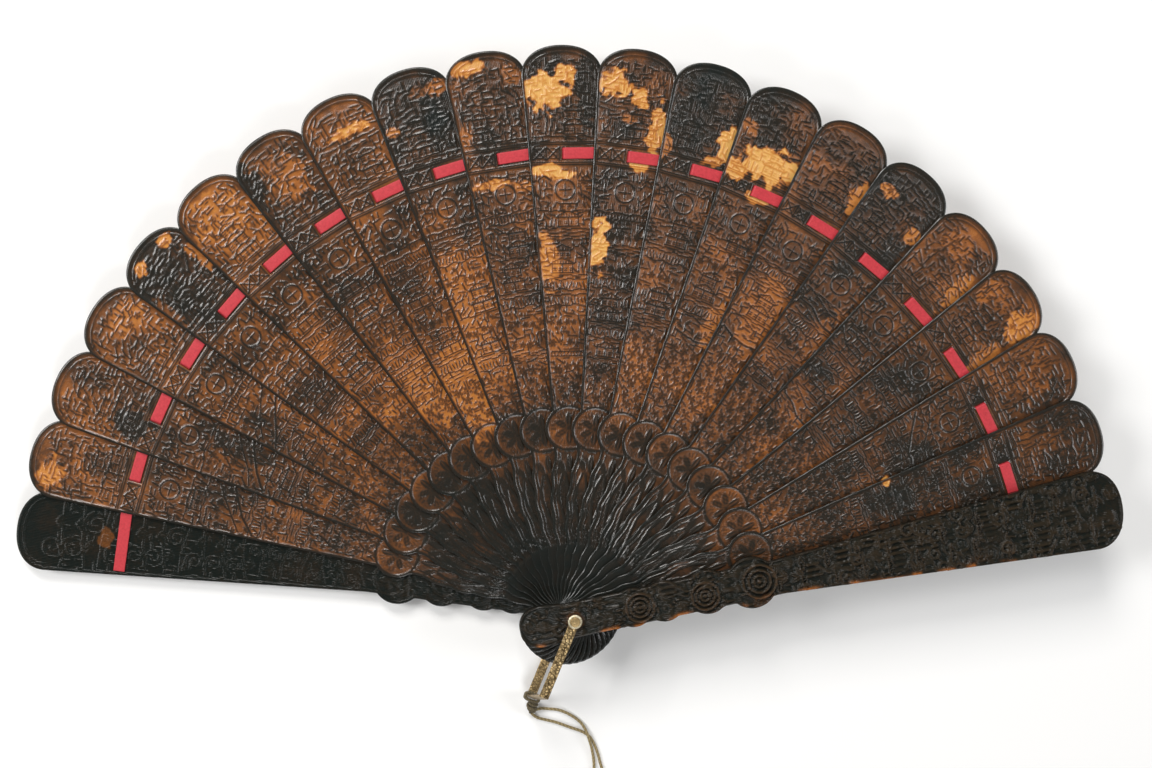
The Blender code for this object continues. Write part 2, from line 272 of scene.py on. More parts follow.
cordSettings = {
    "diameter": 1.0,
    "length": 0.288,
    "twistPitch": 2.6,       # one full turn of the two plies
    "sides": 12,
    "step": 0.3,             # between rings, along the cord
    # painted shade in the grooves between the plies, gold, painted highlights on the ply crowns
    "colours": ((0.0, (0.10, 0.075, 0.03)), (0.45, (0.30, 0.225, 0.095)), (1.0, (0.60, 0.50, 0.27))),
    "khakiShade": 1.15,
    "knotBrightness": 0.42,
    "coilCentre": (12.2, -72.5),
    "coilRadii": (6.5, 5.5, 4.5),
    "coilTurns": 5.5,
    "layerHeights": (1.3, 2.3),
    "coilEntry": ((6.35, -69.3, 1.28),),
    "coilExit": ((18.55, -70.2, 2.3), (17.75, -68.2, 2.25), (16.6, -66.5, 1.8)),
    # routes from the knot to the coil, millimetres
    "strandA": ((-12.6, -37.2, 1.9), (-10.9, -36.9, 1.1), (-9.0, -36.9, 0.6), (-7.2, -37.1, 0.55),
                (-4.1, -37.5, 0.55), (-0.7, -38.9, 0.55), (2.4, -41.0, 0.55), (4.3, -43.0, 0.7),
                (5.7, -45.6, 1.45), (6.5, -48.0, 1.6), (7.4, -51.4, 0.9), (8.0, -55.3, 0.6),
                (8.1, -58.2, 0.6), (7.8, -62.0, 0.9), (7.3, -65.9, 1.2)),
    "strandB": ((-13.1, -38.0, 1.6), (-12.2, -39.2, 0.8), (-10.6, -40.2, 0.55), (-8.0, -40.9, 0.55),
                (-4.5, -41.9, 0.55), (0.1, -43.7, 0.55), (4.0, -45.2, 0.55), (6.6, -47.1, 0.55),
                (8.3, -50.0, 0.55), (9.5, -53.3, 0.55), (10.3, -56.6, 0.55), (11.5, -60.0, 0.7),
                (13.4, -62.8, 1.0), (15.4, -65.0, 1.2)),
}


def distanceAlong(line):
    return np.concatenate([[0], np.cumsum(np.linalg.norm(np.diff(line, axis=0), axis=1))])


def smoothLine(points, spacing):
    points = np.asarray(points, float)
    ends = np.vstack([2 * points[0] - points[1], points, 2 * points[-1] - points[-2]])
    fine = []
    for index in range(len(points) - 1):
        before, start, finish, after = ends[index:index + 4]
        for t in np.linspace(0, 1, 24, endpoint=False):
            fine.append(0.5 * (2 * start + (finish - before) * t
                               + (2 * before - 5 * start + 4 * finish - after) * t ** 2
                               + (3 * start - before - 3 * finish + after) * t ** 3))
    fine = np.array([*fine, points[-1]])
    travelled = distanceAlong(fine)
    count = max(int(round(travelled[-1] / spacing)), 2)
    wanted = np.linspace(0, travelled[-1], count + 1)
    return np.column_stack([np.interp(wanted, travelled, fine[:, axis]) for axis in range(3)])


def coilPoints():
    centre = np.array(cordSettings["coilCentre"])
    outer, middle, inner = cordSettings["coilRadii"]
    low, high = cordSettings["layerHeights"]
    radii = (outer, middle, inner, inner, middle, outer)
    heights = (low, low, low, high, high, high)
    points = []
    stepsPerTurn = 18
    for step in range(int(cordSettings["coilTurns"] * stepsPerTurn) + 1):
        turns = step / stepsPerTurn
        whole = min(int(turns), 5)
        share = turns - whole
        # each turn moves over to the next just before it closes
        jog = min(max((share - 0.68) / 0.17, 0.0), 1.0)
        jog = jog * jog * (3 - 2 * jog)
        after = min(whole + 1, 5)
        radius = radii[whole] + (radii[after] - radii[whole]) * jog
        height = heights[whole] + (heights[after] - heights[whole]) * jog
        angle = math.pi + 2 * math.pi * turns
        points.append((centre[0] + radius * math.cos(angle), centre[1] + radius * math.sin(angle), height))
    return points


def cordLine():
    c = cordSettings
    return [*c["strandA"], *c["coilEntry"], *coilPoints(), *c["coilExit"], *reversed(c["strandB"])]


# A twisted tube along a line of points, closed at both ends, with the distance along it kept for its material
def twistedTube(name, line, diameter, pitch, sides, lobeDepth=0.16):
    count = len(line)
    tangents = np.gradient(line, axis=0)
    tangents /= np.linalg.norm(tangents, axis=1)[:, None]
    across = np.zeros_like(line)
    across[0] = np.cross(tangents[0], (0, 0, 1.0))
    for index in range(count):
        previous = across[max(index - 1, 0)]
        side = previous - tangents[index] * (previous @ tangents[index])
        across[index] = side / np.linalg.norm(side)
    upward = np.cross(tangents, across)
    travelled = distanceAlong(line)
    turns = np.linspace(0, 2 * math.pi, sides, endpoint=False)
    phase = 2 * math.pi * travelled / pitch
    lobeTurn = turns[None, :] - phase[:, None]
    groove = np.abs(np.cos(lobeTurn))  # two plies
    radius = diameter / 2 * (1 - lobeDepth * (1 - groove))
    ring = (across[:, None, :] * np.cos(turns)[None, :, None]
            + upward[:, None, :] * np.sin(turns)[None, :, None])
    vertices = (line[:, None, :] + ring * radius[:, :, None]).reshape(-1, 3)
    faces = []
    for index in range(count - 1):
        for side in range(sides):
            after = (side + 1) % sides
            faces.append((index * sides + side, index * sides + after,
                          (index + 1) * sides + after, (index + 1) * sides + side))
    faces.append(tuple(reversed(range(sides))))
    faces.append(tuple((count - 1) * sides + side for side in range(sides)))
    mesh = bpy.data.meshes.new(name)
    mesh.from_pydata((vertices * mm).tolist(), [], faces)
    piece = newObject(name, mesh)
    editAll(piece)
    bpy.ops.mesh.normals_make_consistent(inside=False)
    bpy.ops.object.mode_set(mode="OBJECT")
    bpy.ops.object.shade_smooth()
    storeNumbers(piece, "plyGroove", groove.ravel())
    storeVectors(piece, "threadPlace", np.column_stack([np.repeat(travelled, sides), np.tile(turns, count),
                                                        np.zeros(count * sides)]))
    return piece


def goldCordMaterial(name, shade):
    material, tree, shader = newMaterial(name)
    threads = bandsNode(tree, attributeNode(tree, "threadPlace", "Vector"), "DIAGONAL", 2.2, 1.2,
                        **{"Detail Scale": 2.0})
    objectPlace = addNode(tree, "ShaderNodeTexCoord").outputs["Object"]
    speckle = textureNode(tree, "Noise", objectPlace, Scale=1900.0, Detail=2.0)
    tone = mathNode(tree, "MULTIPLY_ADD", threads, 0.45, 0.0)
    tone = mathNode(tree, "MULTIPLY_ADD", speckle, 0.5, tone)
    # painted shade: multiplying by plyGroove darkens the tone in the grooves between the plies
    tone = mathNode(tree, "MULTIPLY", tone, attributeNode(tree, "plyGroove"), clamp=True)
    colour = rampNode(tree, tone, [(position, tuple(shade * part for part in stop))
                                   for position, stop in cordSettings["colours"]])
    finishShader(tree, shader, colour, tone, 0.6, 0.00012, {"Roughness": 0.62, "Sheen Weight": 0.12})
    return material


cordMaterial = goldCordMaterial("khakiGoldCord", cordSettings["khakiShade"])
# the knot's cord is given a darker colour than the rest of the cord
darkKnotCordMaterial = goldCordMaterial("darkKhakiKnotCord", cordSettings["knotBrightness"])


def makeCord():
    line = smoothLine(cordLine(), cordSettings["step"])
    print(f"cord {distanceAlong(line)[-1] * mm:.4f} m")
    cord = twistedTube("wristCord", line, cordSettings["diameter"], cordSettings["twistPitch"],
                       cordSettings["sides"])
    cord.data.materials.append(cordMaterial)
    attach(cord, "bail")
    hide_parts("cord_strand_a", "cord_strand_b", "cord_coil")
    return cord, line


cord, cordPath = makeCord()


def squaredTurn(angle, halfAcross, halfThick, power):
    c, s = math.cos(angle), math.sin(angle)
    return halfAcross * math.copysign(abs(c) ** power, c), halfThick * math.copysign(abs(s) ** power, s)


tieSettings = {
    "turns": 3,
    "width": 1.0,       # of the wraps side by side
    "diameter": 0.5,
    "inset": 0.29,      # of the thread's middle from the tie's box
    "pitch": 1.3,
    "sides": 8,
    "squareness": 0.55,
}


def makeTie():
    s = tieSettings
    low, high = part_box("cord_tie")
    centre = (low + high) / 2 / mm
    half = (high - low) / 2 / mm
    steps = s["turns"] * 20
    points = []
    for step in range(steps + 1):
        y, z = squaredTurn(math.pi + 2 * math.pi * step / 20, half.y - s["inset"], half.z - s["inset"],
                           s["squareness"])
        points.append((centre.x + (step / steps - 0.5) * s["width"], centre.y + y, centre.z + z))
    tie = twistedTube("cordTie", smoothLine(points, 0.2), s["diameter"], s["pitch"], s["sides"])
    tie.data.materials.append(cordMaterial)
    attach(tie, "bail")
    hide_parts("cord_tie")
    return tie


cordTie = makeTie()


# The hitch: wraps round the slanted crossbar, a twisted knot below them, and the two strands leaving it
knotSettings = {
    "barDegrees": 247.8,
    "barFront": (25.9, 26.75),   # the crossbar's two ends: distance from the rivet, height
    "barRear": (35.3, 1.3),
    "height": 4.2,
    "length": 3.6,
    "strapHalfWidth": 1.5,
    "strapHalfThickness": 0.3,
    "squareness": 0.6,
    "clearance": 0.3,
    "ply": 1.05,
    "plyPitch": 1.9,
    "plySides": 12,
    "spacing": 0.22,             # between rings, along a ply
    "wraps": 3.4,
    "lumpTurns": 1.6,
    "lumpFlatness": 0.75,
    "lumpPlies": ((0.0, 1.0), (math.pi, 1.0), (math.pi / 2, 0.45)),  # start angle, swing
    "tailWidth": 0.9,
    # offsets sideways, in plan and up
    "tail": ((1.3, 0.9, 0.3), (2.1, 1.6, 0.35), (2.5, 2.6, 0.2)),
}


def knotPly(name, points, width=1.0):
    k = knotSettings
    return twistedTube(name, smoothLine(points, k["spacing"]), k["ply"] * width, k["plyPitch"], k["plySides"])


def makeKnot():
    k = knotSettings
    barStart, barEnd = Vector((0.0, *k["barFront"])), Vector((0.0, *k["barRear"]))
    direction = (barEnd - barStart).normalized()
    middle = barEnd - direction * ((k["height"] - barEnd.z) / -direction.z)
    sideways = Vector((1, 0, 0))
    outward = direction.cross(sideways)
    spin = Matrix.Rotation(math.radians(k["barDegrees"] - 90.0), 4, "Z")
    reach = k["clearance"] + k["ply"] / 2
    steps = int(k["wraps"] * 20)
    points = []
    for step in range(steps + 1):
        across, thick = squaredTurn(2 * math.pi * step / 20 + 0.6, k["strapHalfWidth"] + reach,
                                    k["strapHalfThickness"] + reach, k["squareness"])
        along = (step / steps - 0.5) * (k["length"] - k["ply"])
        points.append(tuple(spin @ (middle + direction * along + sideways * across + outward * thick)))
    wraps = knotPly("cordKnot", points)
    knotTop = np.array(spin @ (middle - direction * 0.2)) + (0.1, -1.7, -0.5)
    knotFoot = np.array((cordSettings["strandA"][0][0] - 0.2, cordSettings["strandA"][0][1] - 0.5, 1.75))
    axis = knotFoot - knotTop
    axis /= np.linalg.norm(axis)
    side = np.cross(axis, (0, 0, 1.0))
    side /= np.linalg.norm(side)
    lift = np.cross(side, axis)
    parts = []
    for start, swing in k["lumpPlies"]:
        lump = []
        for share in np.arange(31) / 30:
            swell = swing * (0.72 + 0.85 * math.sin(math.pi * min(share * 1.25, 1.0)))
            angle = start + 2 * math.pi * k["lumpTurns"] * share
            lump.append(knotTop + (knotFoot - knotTop) * share + side * swell * math.cos(angle)
                        + lift * swell * k["lumpFlatness"] * math.sin(angle))
        parts.append(knotPly("cordPly", lump))
    tail = [knotTop + side * reach + (0, toward, up) for reach, toward, up in k["tail"]]
    parts.append(knotPly("cordPly", tail, k["tailWidth"]))
    knot = joinPieces(wraps, parts)
    knot.data.materials.append(darkKnotCordMaterial)
    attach(knot, "bail")
    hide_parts("cord_knot")
    return knot


cordKnot = makeKnot()
print("cord laid")


# ---- the blades: outlines as in the fan's plan, in millimetres, rivet at the origin and tip along +Y

bladeSettings = {
    "stickCount": 19,
    "stepDegrees": 8.0,
    "rearDegrees": 171.1,
    "tipRadius": 180.0,
    "tipHeight": 9.7,
    "tipRoundness": 2.2,
    "edgeOverlap": 0.8,
    "headLength": 17.5,
    "gorgeHalfWidth": 4.7,
    "gorgeWave": 0.25,
    "gorgeWavePitch": 9.0,
    "leafStart": 22.0,
    "leafEnd": 52.0,
    "leafSwell": 1.5,
    "medallionRadius": 7.6,
    "medallionPlace": 59.5,
    "guardNeck": 5.5,
    "guardHead": 7.2,
    "guardBosses": ((19.0, 6.2), (29.0, 6.5), (43.0, 7.0), (57.5, 8.2)),
    "holeRadius": 1.262,
    "ribbonPlace": 146.5,
    "slotHalfWidth": 0.4,
    "slotHalfLength": 2.1,
}

meshSettings = {
    "columns": 72,
    "guardColumns": 80,
    "headRows": 28,
    "lowRows": 108,
    "bodyRows": 230,
    "slotRows": 14,
    "tipRows": 88,
    "straightFrom": -2.4,
    "bodyFrom": 62.4,
    # cells on each side of the middle that the openings take
    "holeColumns": 8,
    "holeRows": 2,
    "slotColumns": 2,
}

carvingSettings = {
    "seed": 1000,
    "cell": 0.1,             # of the drawn relief
    "halfWidth": 14.0,
    "low": -18.0,
    "high": 181.0,
    "stickDepth": 0.34,
    "stickBackDepth": 0.12,
    "frontGuardDepth": 1.15,
    "rearGuardDepth": 0.28,
    "guardBackDepth": 0.3,
    "edgeDrop": 0.16,
    "smallestEdge": 2e-7,    # metres; shorter edges are merged away
}


lastBlade = bladeSettings["stickCount"] + 1


def bladeName(number):
    return {0: "rear_guard", lastBlade: "front_guard"}.get(number, f"stick_{number:02d}")


def turnToPlace(piece, number, height):
    degrees = bladeSettings["rearDegrees"] - bladeSettings["stepDegrees"] * number - 90
    turn = Matrix.Rotation(math.radians(degrees), 4, "Z")
    piece.data.transform(Matrix.Translation((0, 0, height)) @ turn)


def wedgeHalf(radius):
    return radius * math.tan(math.radians(bladeSettings["stepDegrees"] / 2)) + bladeSettings["edgeOverlap"]


def headHalf(y, neck, head, exponent):
    sine = np.clip(-y / bladeSettings["headLength"], 0, 1)
    turn = np.arcsin(sine)
    return neck * np.cos(turn) ** exponent + (head - neck) * np.sin(2 * turn) ** 2


def stickHalf(y):
    b = bladeSettings
    share = np.clip((y - b["leafStart"]) / (b["leafEnd"] - b["leafStart"]), 0, 1)
    gorge = (b["gorgeHalfWidth"] + b["gorgeWave"] * np.cos(2 * np.pi * y / b["gorgeWavePitch"])
             + b["leafSwell"] * np.sin(np.pi * share))
    body = np.where(y < b["medallionPlace"], gorge, wedgeHalf(y))
    boss = np.sqrt(np.clip(b["medallionRadius"] ** 2 - (y - b["medallionPlace"]) ** 2, 0, None))
    neck = b["gorgeHalfWidth"] + b["gorgeWave"]
    return np.where(y < 0, headHalf(y, neck, neck, 0.6), np.maximum(body, boss))


def guardHalf(y):
    b = bladeSettings
    width = np.maximum(b["guardNeck"], wedgeHalf(y))
    for place, size in b["guardBosses"]:
        width = np.maximum(width, np.sqrt(np.clip(size ** 2 - (y - place) ** 2, 0, None)))
    return np.where(y < 0, headHalf(y, max(b["guardNeck"], wedgeHalf(0)), b["guardHead"], 0.5), width)


def tipOutline(turns):
    b = bladeSettings
    shoulder = b["tipRadius"] - b["tipHeight"]
    power = 2 / b["tipRoundness"]
    return (wedgeHalf(shoulder) * np.clip(np.cos(turns), 0, 1) ** power,
            shoulder + b["tipHeight"] * np.clip(np.sin(turns), 0, 1) ** power)


# Places every grid point of a blade on its plan. The openings for the rivet and the ribbon are left between
# rows and columns that cutOpenings removes
def bladePlan(row, column, columns, halfWidth, withSlot):
    b, m = bladeSettings, meshSettings
    t = column / columns * 2 - 1
    rowStops = np.cumsum([0, m["headRows"], m["lowRows"], m["bodyRows"], m["slotRows"], m["tipRows"]])
    slotLow, slotHigh = b["ribbonPlace"] - b["slotHalfLength"], b["ribbonPlace"] + b["slotHalfLength"]
    y = np.interp(row, rowStops, [0, m["straightFrom"], m["bodyFrom"], slotLow, slotHigh, b["tipRadius"]])
    x = t * halfWidth(y)
    inHead = row < rowStops[1]
    share = 1 - row / rowStops[1]
    firstTurn = math.asin(-m["straightFrom"] / b["headLength"])
    turn = firstTurn + (math.pi / 2 - firstTurn) * (1 - np.abs(t))
    headY = -b["headLength"] * np.sin(turn)
    headX = np.sign(t) * halfWidth(np.maximum(headY, -b["headLength"] + 1e-6))
    startX = t * halfWidth(np.full_like(t, m["straightFrom"]))
    x = np.where(inHead, startX * (1 - share) + headX * share, x)
    y = np.where(inHead, m["straightFrom"] * (1 - share) + headY * share, y)
    inTip = row > rowStops[4]
    share = (row - rowStops[4]) / (rowStops[5] - rowStops[4])
    tipX, tipY = tipOutline(math.pi / 2 * (1 - np.abs(t)))
    tipX = np.sign(t) * tipX
    x = np.where(inTip, t * halfWidth(np.full_like(t, slotHigh)) * (1 - share) + tipX * share, x)
    y = np.where(inTip, slotHigh * (1 - share) + tipY * share, y)
    centreRow = rowStops[1] - m["straightFrom"] / (m["bodyFrom"] - m["straightFrom"]) * m["lowRows"]
    across = np.abs(column - columns / 2) / m["holeColumns"]
    along = np.abs(row - centreRow) / m["holeRows"]
    square = np.maximum(across, along)
    away = np.hypot(x, y)
    blend = np.clip((square - 1) / 1.2, 0, 1)
    ring = b["holeRadius"] / np.maximum(away, 1e-6)
    near = (square < 2.2) & (square > 0.999)
    x = np.where(near, x * (ring * (1 - blend) + blend), x)
    y = np.where(near, y * (ring * (1 - blend) + blend), y)
    if withSlot:
        natural = halfWidth(np.full(1, b["ribbonPlace"]))[0] * 2 * m["slotColumns"] / columns
        closeRows = np.clip(1 - (np.abs(y - b["ribbonPlace"]) - b["slotHalfLength"]) / 1.5, 0, 1)
        pull = closeRows * np.clip((3.0 - np.abs(x)) / (3.0 - natural), 0, 1)
        x = x - np.sign(x) * np.minimum(np.abs(x), natural) * (1 - b["slotHalfWidth"] / natural) * pull
    return x, y, (centreRow, rowStops[3], rowStops[4])


# Distance from each point to the outline
def rimDistance(x, y, outline):
    starts, ends = outline, np.roll(outline, -1, axis=0)
    best = np.full(x.shape, 99.0)
    along = ends - starts
    lengths = np.maximum((along ** 2).sum(1), 1e-12)
    for first in range(0, len(x), 4000):
        px, py = x[first:first + 4000, None], y[first:first + 4000, None]
        t = np.clip(((px - starts[:, 0]) * along[:, 0] + (py - starts[:, 1]) * along[:, 1]) / lengths, 0, 1)
        distance = np.hypot(px - starts[:, 0] - t * along[:, 0], py - starts[:, 1] - t * along[:, 1])
        best[first:first + 4000] = distance.min(1)
    return best


def outlineOf(halfWidth):
    b = bladeSettings
    headY = -b["headLength"] * np.sin(np.linspace(math.pi / 2, 0.02, 24))
    bodyY = np.linspace(0, b["tipRadius"] - b["tipHeight"], 420)
    tipX, tipY = tipOutline(np.linspace(0.0, math.pi / 2, 40))
    headX = halfWidth(np.maximum(headY, -b["headLength"] + 1e-6))
    right = np.column_stack([np.concatenate([headX, halfWidth(bodyY), tipX]),
                             np.concatenate([headY, bodyY, tipY])])
    return np.vstack([right, right[::-1] * (-1, 1)])


# ---- drawing a relief: every stroke raises the height map


def blendCorners(lowLeft, lowRight, highLeft, highRight, u, v):
    return (lowLeft * (1 - u) + lowRight * u) * (1 - v) + (highLeft * (1 - u) + highRight * u) * v


def polar(x, y, degrees, reach):
    angle = math.radians(degrees)
    return x + reach * math.cos(angle), y + reach * math.sin(angle)


class Relief:
    def __init__(self, seed):
        c = carvingSettings
        self.cell = c["cell"]
        self.columns = int(2 * c["halfWidth"] / self.cell) + 1
        self.rows = int((c["high"] - c["low"]) / self.cell) + 1
        self.height = np.zeros((self.rows, self.columns), np.float32)
        self.random = np.random.default_rng(seed)

    # The cells within reach of a place, with their offsets from it
    def window(self, x, y, reach):
        c = carvingSettings
        left = max(int((x - reach + c["halfWidth"]) / self.cell), 0)
        right = max(min(int((x + reach + c["halfWidth"]) / self.cell) + 2, self.columns), left)
        low = max(int((y - reach - c["low"]) / self.cell), 0)
        high = max(min(int((y + reach - c["low"]) / self.cell) + 2, self.rows), low)
        dx = (np.arange(left, right) * self.cell - c["halfWidth"] - x)[None, :]
        dy = (np.arange(low, high) * self.cell + c["low"] - y)[:, None]
        return (slice(low, high), slice(left, right)), dx, dy

    def turnedWindow(self, x, y, reach, degrees):
        cells, dx, dy = self.window(x, y, reach)
        c, s = math.cos(math.radians(degrees)), math.sin(math.radians(degrees))
        return cells, dx * c + dy * s, dy * c - dx * s

    def raiseTo(self, cells, profile):
        self.height[cells] = np.maximum(self.height[cells], profile)

    def bar(self, x, y, length, width, degrees=0.0, height=1.0):
        cells, along, across = self.turnedWindow(x, y, length / 2 + width, degrees)
        distance = np.hypot(np.maximum(np.abs(along) - length / 2, 0), across) / (width / 2)
        self.raiseTo(cells, height * np.clip(1.8 * (1 - distance ** 2), 0, 1))

    def ring(self, x, y, radius, width, height=1.0):
        cells, dx, dy = self.window(x, y, radius + width)
        distance = np.abs(np.hypot(dx, dy) - radius) / (width / 2)
        self.raiseTo(cells, height * np.clip(1.8 * (1 - distance ** 2), 0, 1))

    def dot(self, x, y, radius, height=1.0):
        cells, dx, dy = self.window(x, y, radius)
        self.raiseTo(cells, height * np.sqrt(np.clip(1 - (dx ** 2 + dy ** 2) / radius ** 2, 0, 1)))

    def leaf(self, x, y, length, width, degrees, height=1.0):
        cells, along, across = self.turnedWindow(x, y, length / 2 + width, degrees)
        halfWidth = width / 2 * np.clip(1 - (2 * along / length) ** 2, 0, 1) ** 0.8 + 1e-4
        body = np.clip(1.3 * (1 - (across / halfWidth) ** 2), 0, 1) * (np.abs(along) < length / 2)
        vein = 1 - 0.55 * np.exp(-(across / (0.09 * width + 0.05)) ** 2)
        self.raiseTo(cells, height * body * vein)

    def line(self, points, width, height=1.0):
        for start, finish in zip(points, points[1:]):
            dx, dy = finish[0] - start[0], finish[1] - start[1]
            self.bar((start[0] + finish[0]) / 2, (start[1] + finish[1]) / 2, math.hypot(dx, dy), width,
                     math.degrees(math.atan2(dy, dx)), height)

    def sink(self, x, y, halfX, halfY, height):
        cells, dx, dy = self.window(x, y, max(halfX, halfY) + 0.2)
        self.height[cells][(np.abs(dx) < halfX) & (np.abs(dy) < halfY)] = height

    def spiral(self, x, y, radius, turns, width, clockwise=1, start=0.0, height=1.0):
        steps = int(turns * 14)
        points = []
        for step in range(steps + 1):
            share = step / steps
            angle = math.radians(start) + clockwise * 2 * math.pi * turns * share
            reach = radius * (1 - 0.82 * share)
            points.append((x + reach * math.cos(angle), y + reach * math.sin(angle)))
        self.line(points, width, height)

    def blossom(self, x, y, radius, petals, height=1.0):
        turn = self.random.uniform(0, 360)
        for petal in range(petals):
            angle = turn + 360 * petal / petals
            self.leaf(*polar(x, y, angle, 0.55 * radius), 0.85 * radius, 0.6 * radius, angle, height)
        self.dot(x, y, 0.24 * radius, height)

    def roof(self, x, y, width, height=1.0):
        self.bar(x, y, width, 0.6, 0, height)
        for side in (-1, 1):
            self.bar(x + side * (width / 2 + 0.35), y + 0.35, 1.1, 0.5, side * 42, height)
            self.bar(x + side * width / 4, y + 1.15, width / 2.1, 0.45, -side * 24, height)
        for step in np.arange(-width / 2 + 0.6, width / 2 - 0.3, 0.85):
            self.bar(x + step, y + 0.62, 0.7, 0.34, 90, 0.8 * height)

    def pavilion(self, x, y, width, storeys):
        base = y
        for storey in range(storeys):
            span = width * (1 - 0.22 * storey)
            tall = 2.7 - 0.3 * storey
            for post in np.linspace(-span / 2, span / 2, max(int(span / 1.7), 2)):
                self.bar(x + post, base + tall / 2, tall, 0.42, 90)
            for pane in np.arange(-span / 2 + 0.85, span / 2, 1.7):
                self.bar(x + pane, base + 0.9, 1.0, 0.3, 0, 0.85)
                self.bar(x + pane, base + 1.6, 1.0, 0.3, 0, 0.85)
                self.bar(x + pane, base + 1.25, 1.0, 0.26, 90, 0.7)
            self.bar(x, base, span + 0.8, 0.42, 0)
            self.roof(x, base + tall + 0.2, span + 1.0)
            base += tall + 1.9
        return base - y

    def tree(self, x, y, tall, spread):
        self.line([(x, y), (x + 0.5, y + tall * 0.35), (x - 0.2, y + tall * 0.65), (x + 0.3, y + tall)], 0.5)
        for branch in range(int(tall * 1.6)):
            up = self.random.uniform(0.35, 1.05) * tall
            side = self.random.uniform(-1, 1) * spread
            angle = self.random.uniform(20, 160)
            for degrees in (angle - 32, angle, angle + 32):
                self.leaf(*polar(x + side, y + up, degrees, 0.55), 1.25, 0.5, degrees)

    def fence(self, low, high, y):
        self.line([(low, y), (high, y)], 0.4)
        self.line([(low, y + 1.5), (high, y + 1.5)], 0.4)
        for x in np.arange(low, high, 1.0):
            self.bar(x, y + 0.75, 1.4, 0.34, 90 if int(x * 10) % 3 else 55, 0.9)

    def groundLine(self, low, high, y, sway, width=0.42):
        points = [(x, y + sway * math.sin(1.1 * x + y) + 0.12 * self.random.uniform(-1, 1))
                  for x in np.arange(low, high + 0.9, 0.9)]
        self.line(points, width)

    # Short strokes wherever the ground is still bare
    def fill(self, low, high, limit, pitch, lengths, width, slant, share=1.0):
        for y in np.arange(low, high, pitch):
            edge = limit(y)
            for x in np.arange(-edge, edge, pitch):
                px = x + self.random.uniform(-0.4, 0.4) * pitch
                py = y + self.random.uniform(-0.4, 0.4) * pitch
                column = int((px + carvingSettings["halfWidth"]) / self.cell)
                row = int((py - carvingSettings["low"]) / self.cell)
                pick, length, turn, wobble = self.random.random(4)
                if pick > share or not (0 < column < self.columns and 0 < row < self.rows):
                    continue
                near = self.height[max(row - 4, 0):row + 5, max(column - 4, 0):column + 5]
                if near.size and near.max() > 0.25:
                    continue
                degrees = (0 if turn < 0.42 else 90 if turn < 0.8 else slant) + (wobble - 0.5) * 24
                self.bar(px, py, lengths[0] + length * (lengths[1] - lengths[0]), width, degrees,
                         0.75 + 0.25 * wobble)

    def sample(self, x, y):
        c = carvingSettings
        column = np.clip((x + c["halfWidth"]) / self.cell, 0, self.columns - 1.001)
        row = np.clip((y - c["low"]) / self.cell, 0, self.rows - 1.001)
        i, j = column.astype(int), row.astype(int)
        u, v = column - i, row - j
        h = self.height
        return blendCorners(h[j, i], h[j, i + 1], h[j + 1, i], h[j + 1, i + 1], u, v)


# Smooth random patches between 0 and 1
def patches(seed, x, y, size):
    table = np.random.default_rng(seed).random((64, 64))
    column, row = (x + 40.0) / size, (y + 40.0) / size
    i, j = np.floor(column).astype(int), np.floor(row).astype(int)
    u, v = column - i, row - j
    u, v = u * u * (3 - 2 * u), v * v * (3 - 2 * v)
    i0, i1, j0, j1 = i % 64, (i + 1) % 64, j % 64, (j + 1) % 64
    return blendCorners(table[j0, i0], table[j0, i1], table[j1, i0], table[j1, i1], u, v)


def innerLimit(halfWidth, inset):
    return lambda y: float(halfWidth(np.array([y], float))[0]) - inset


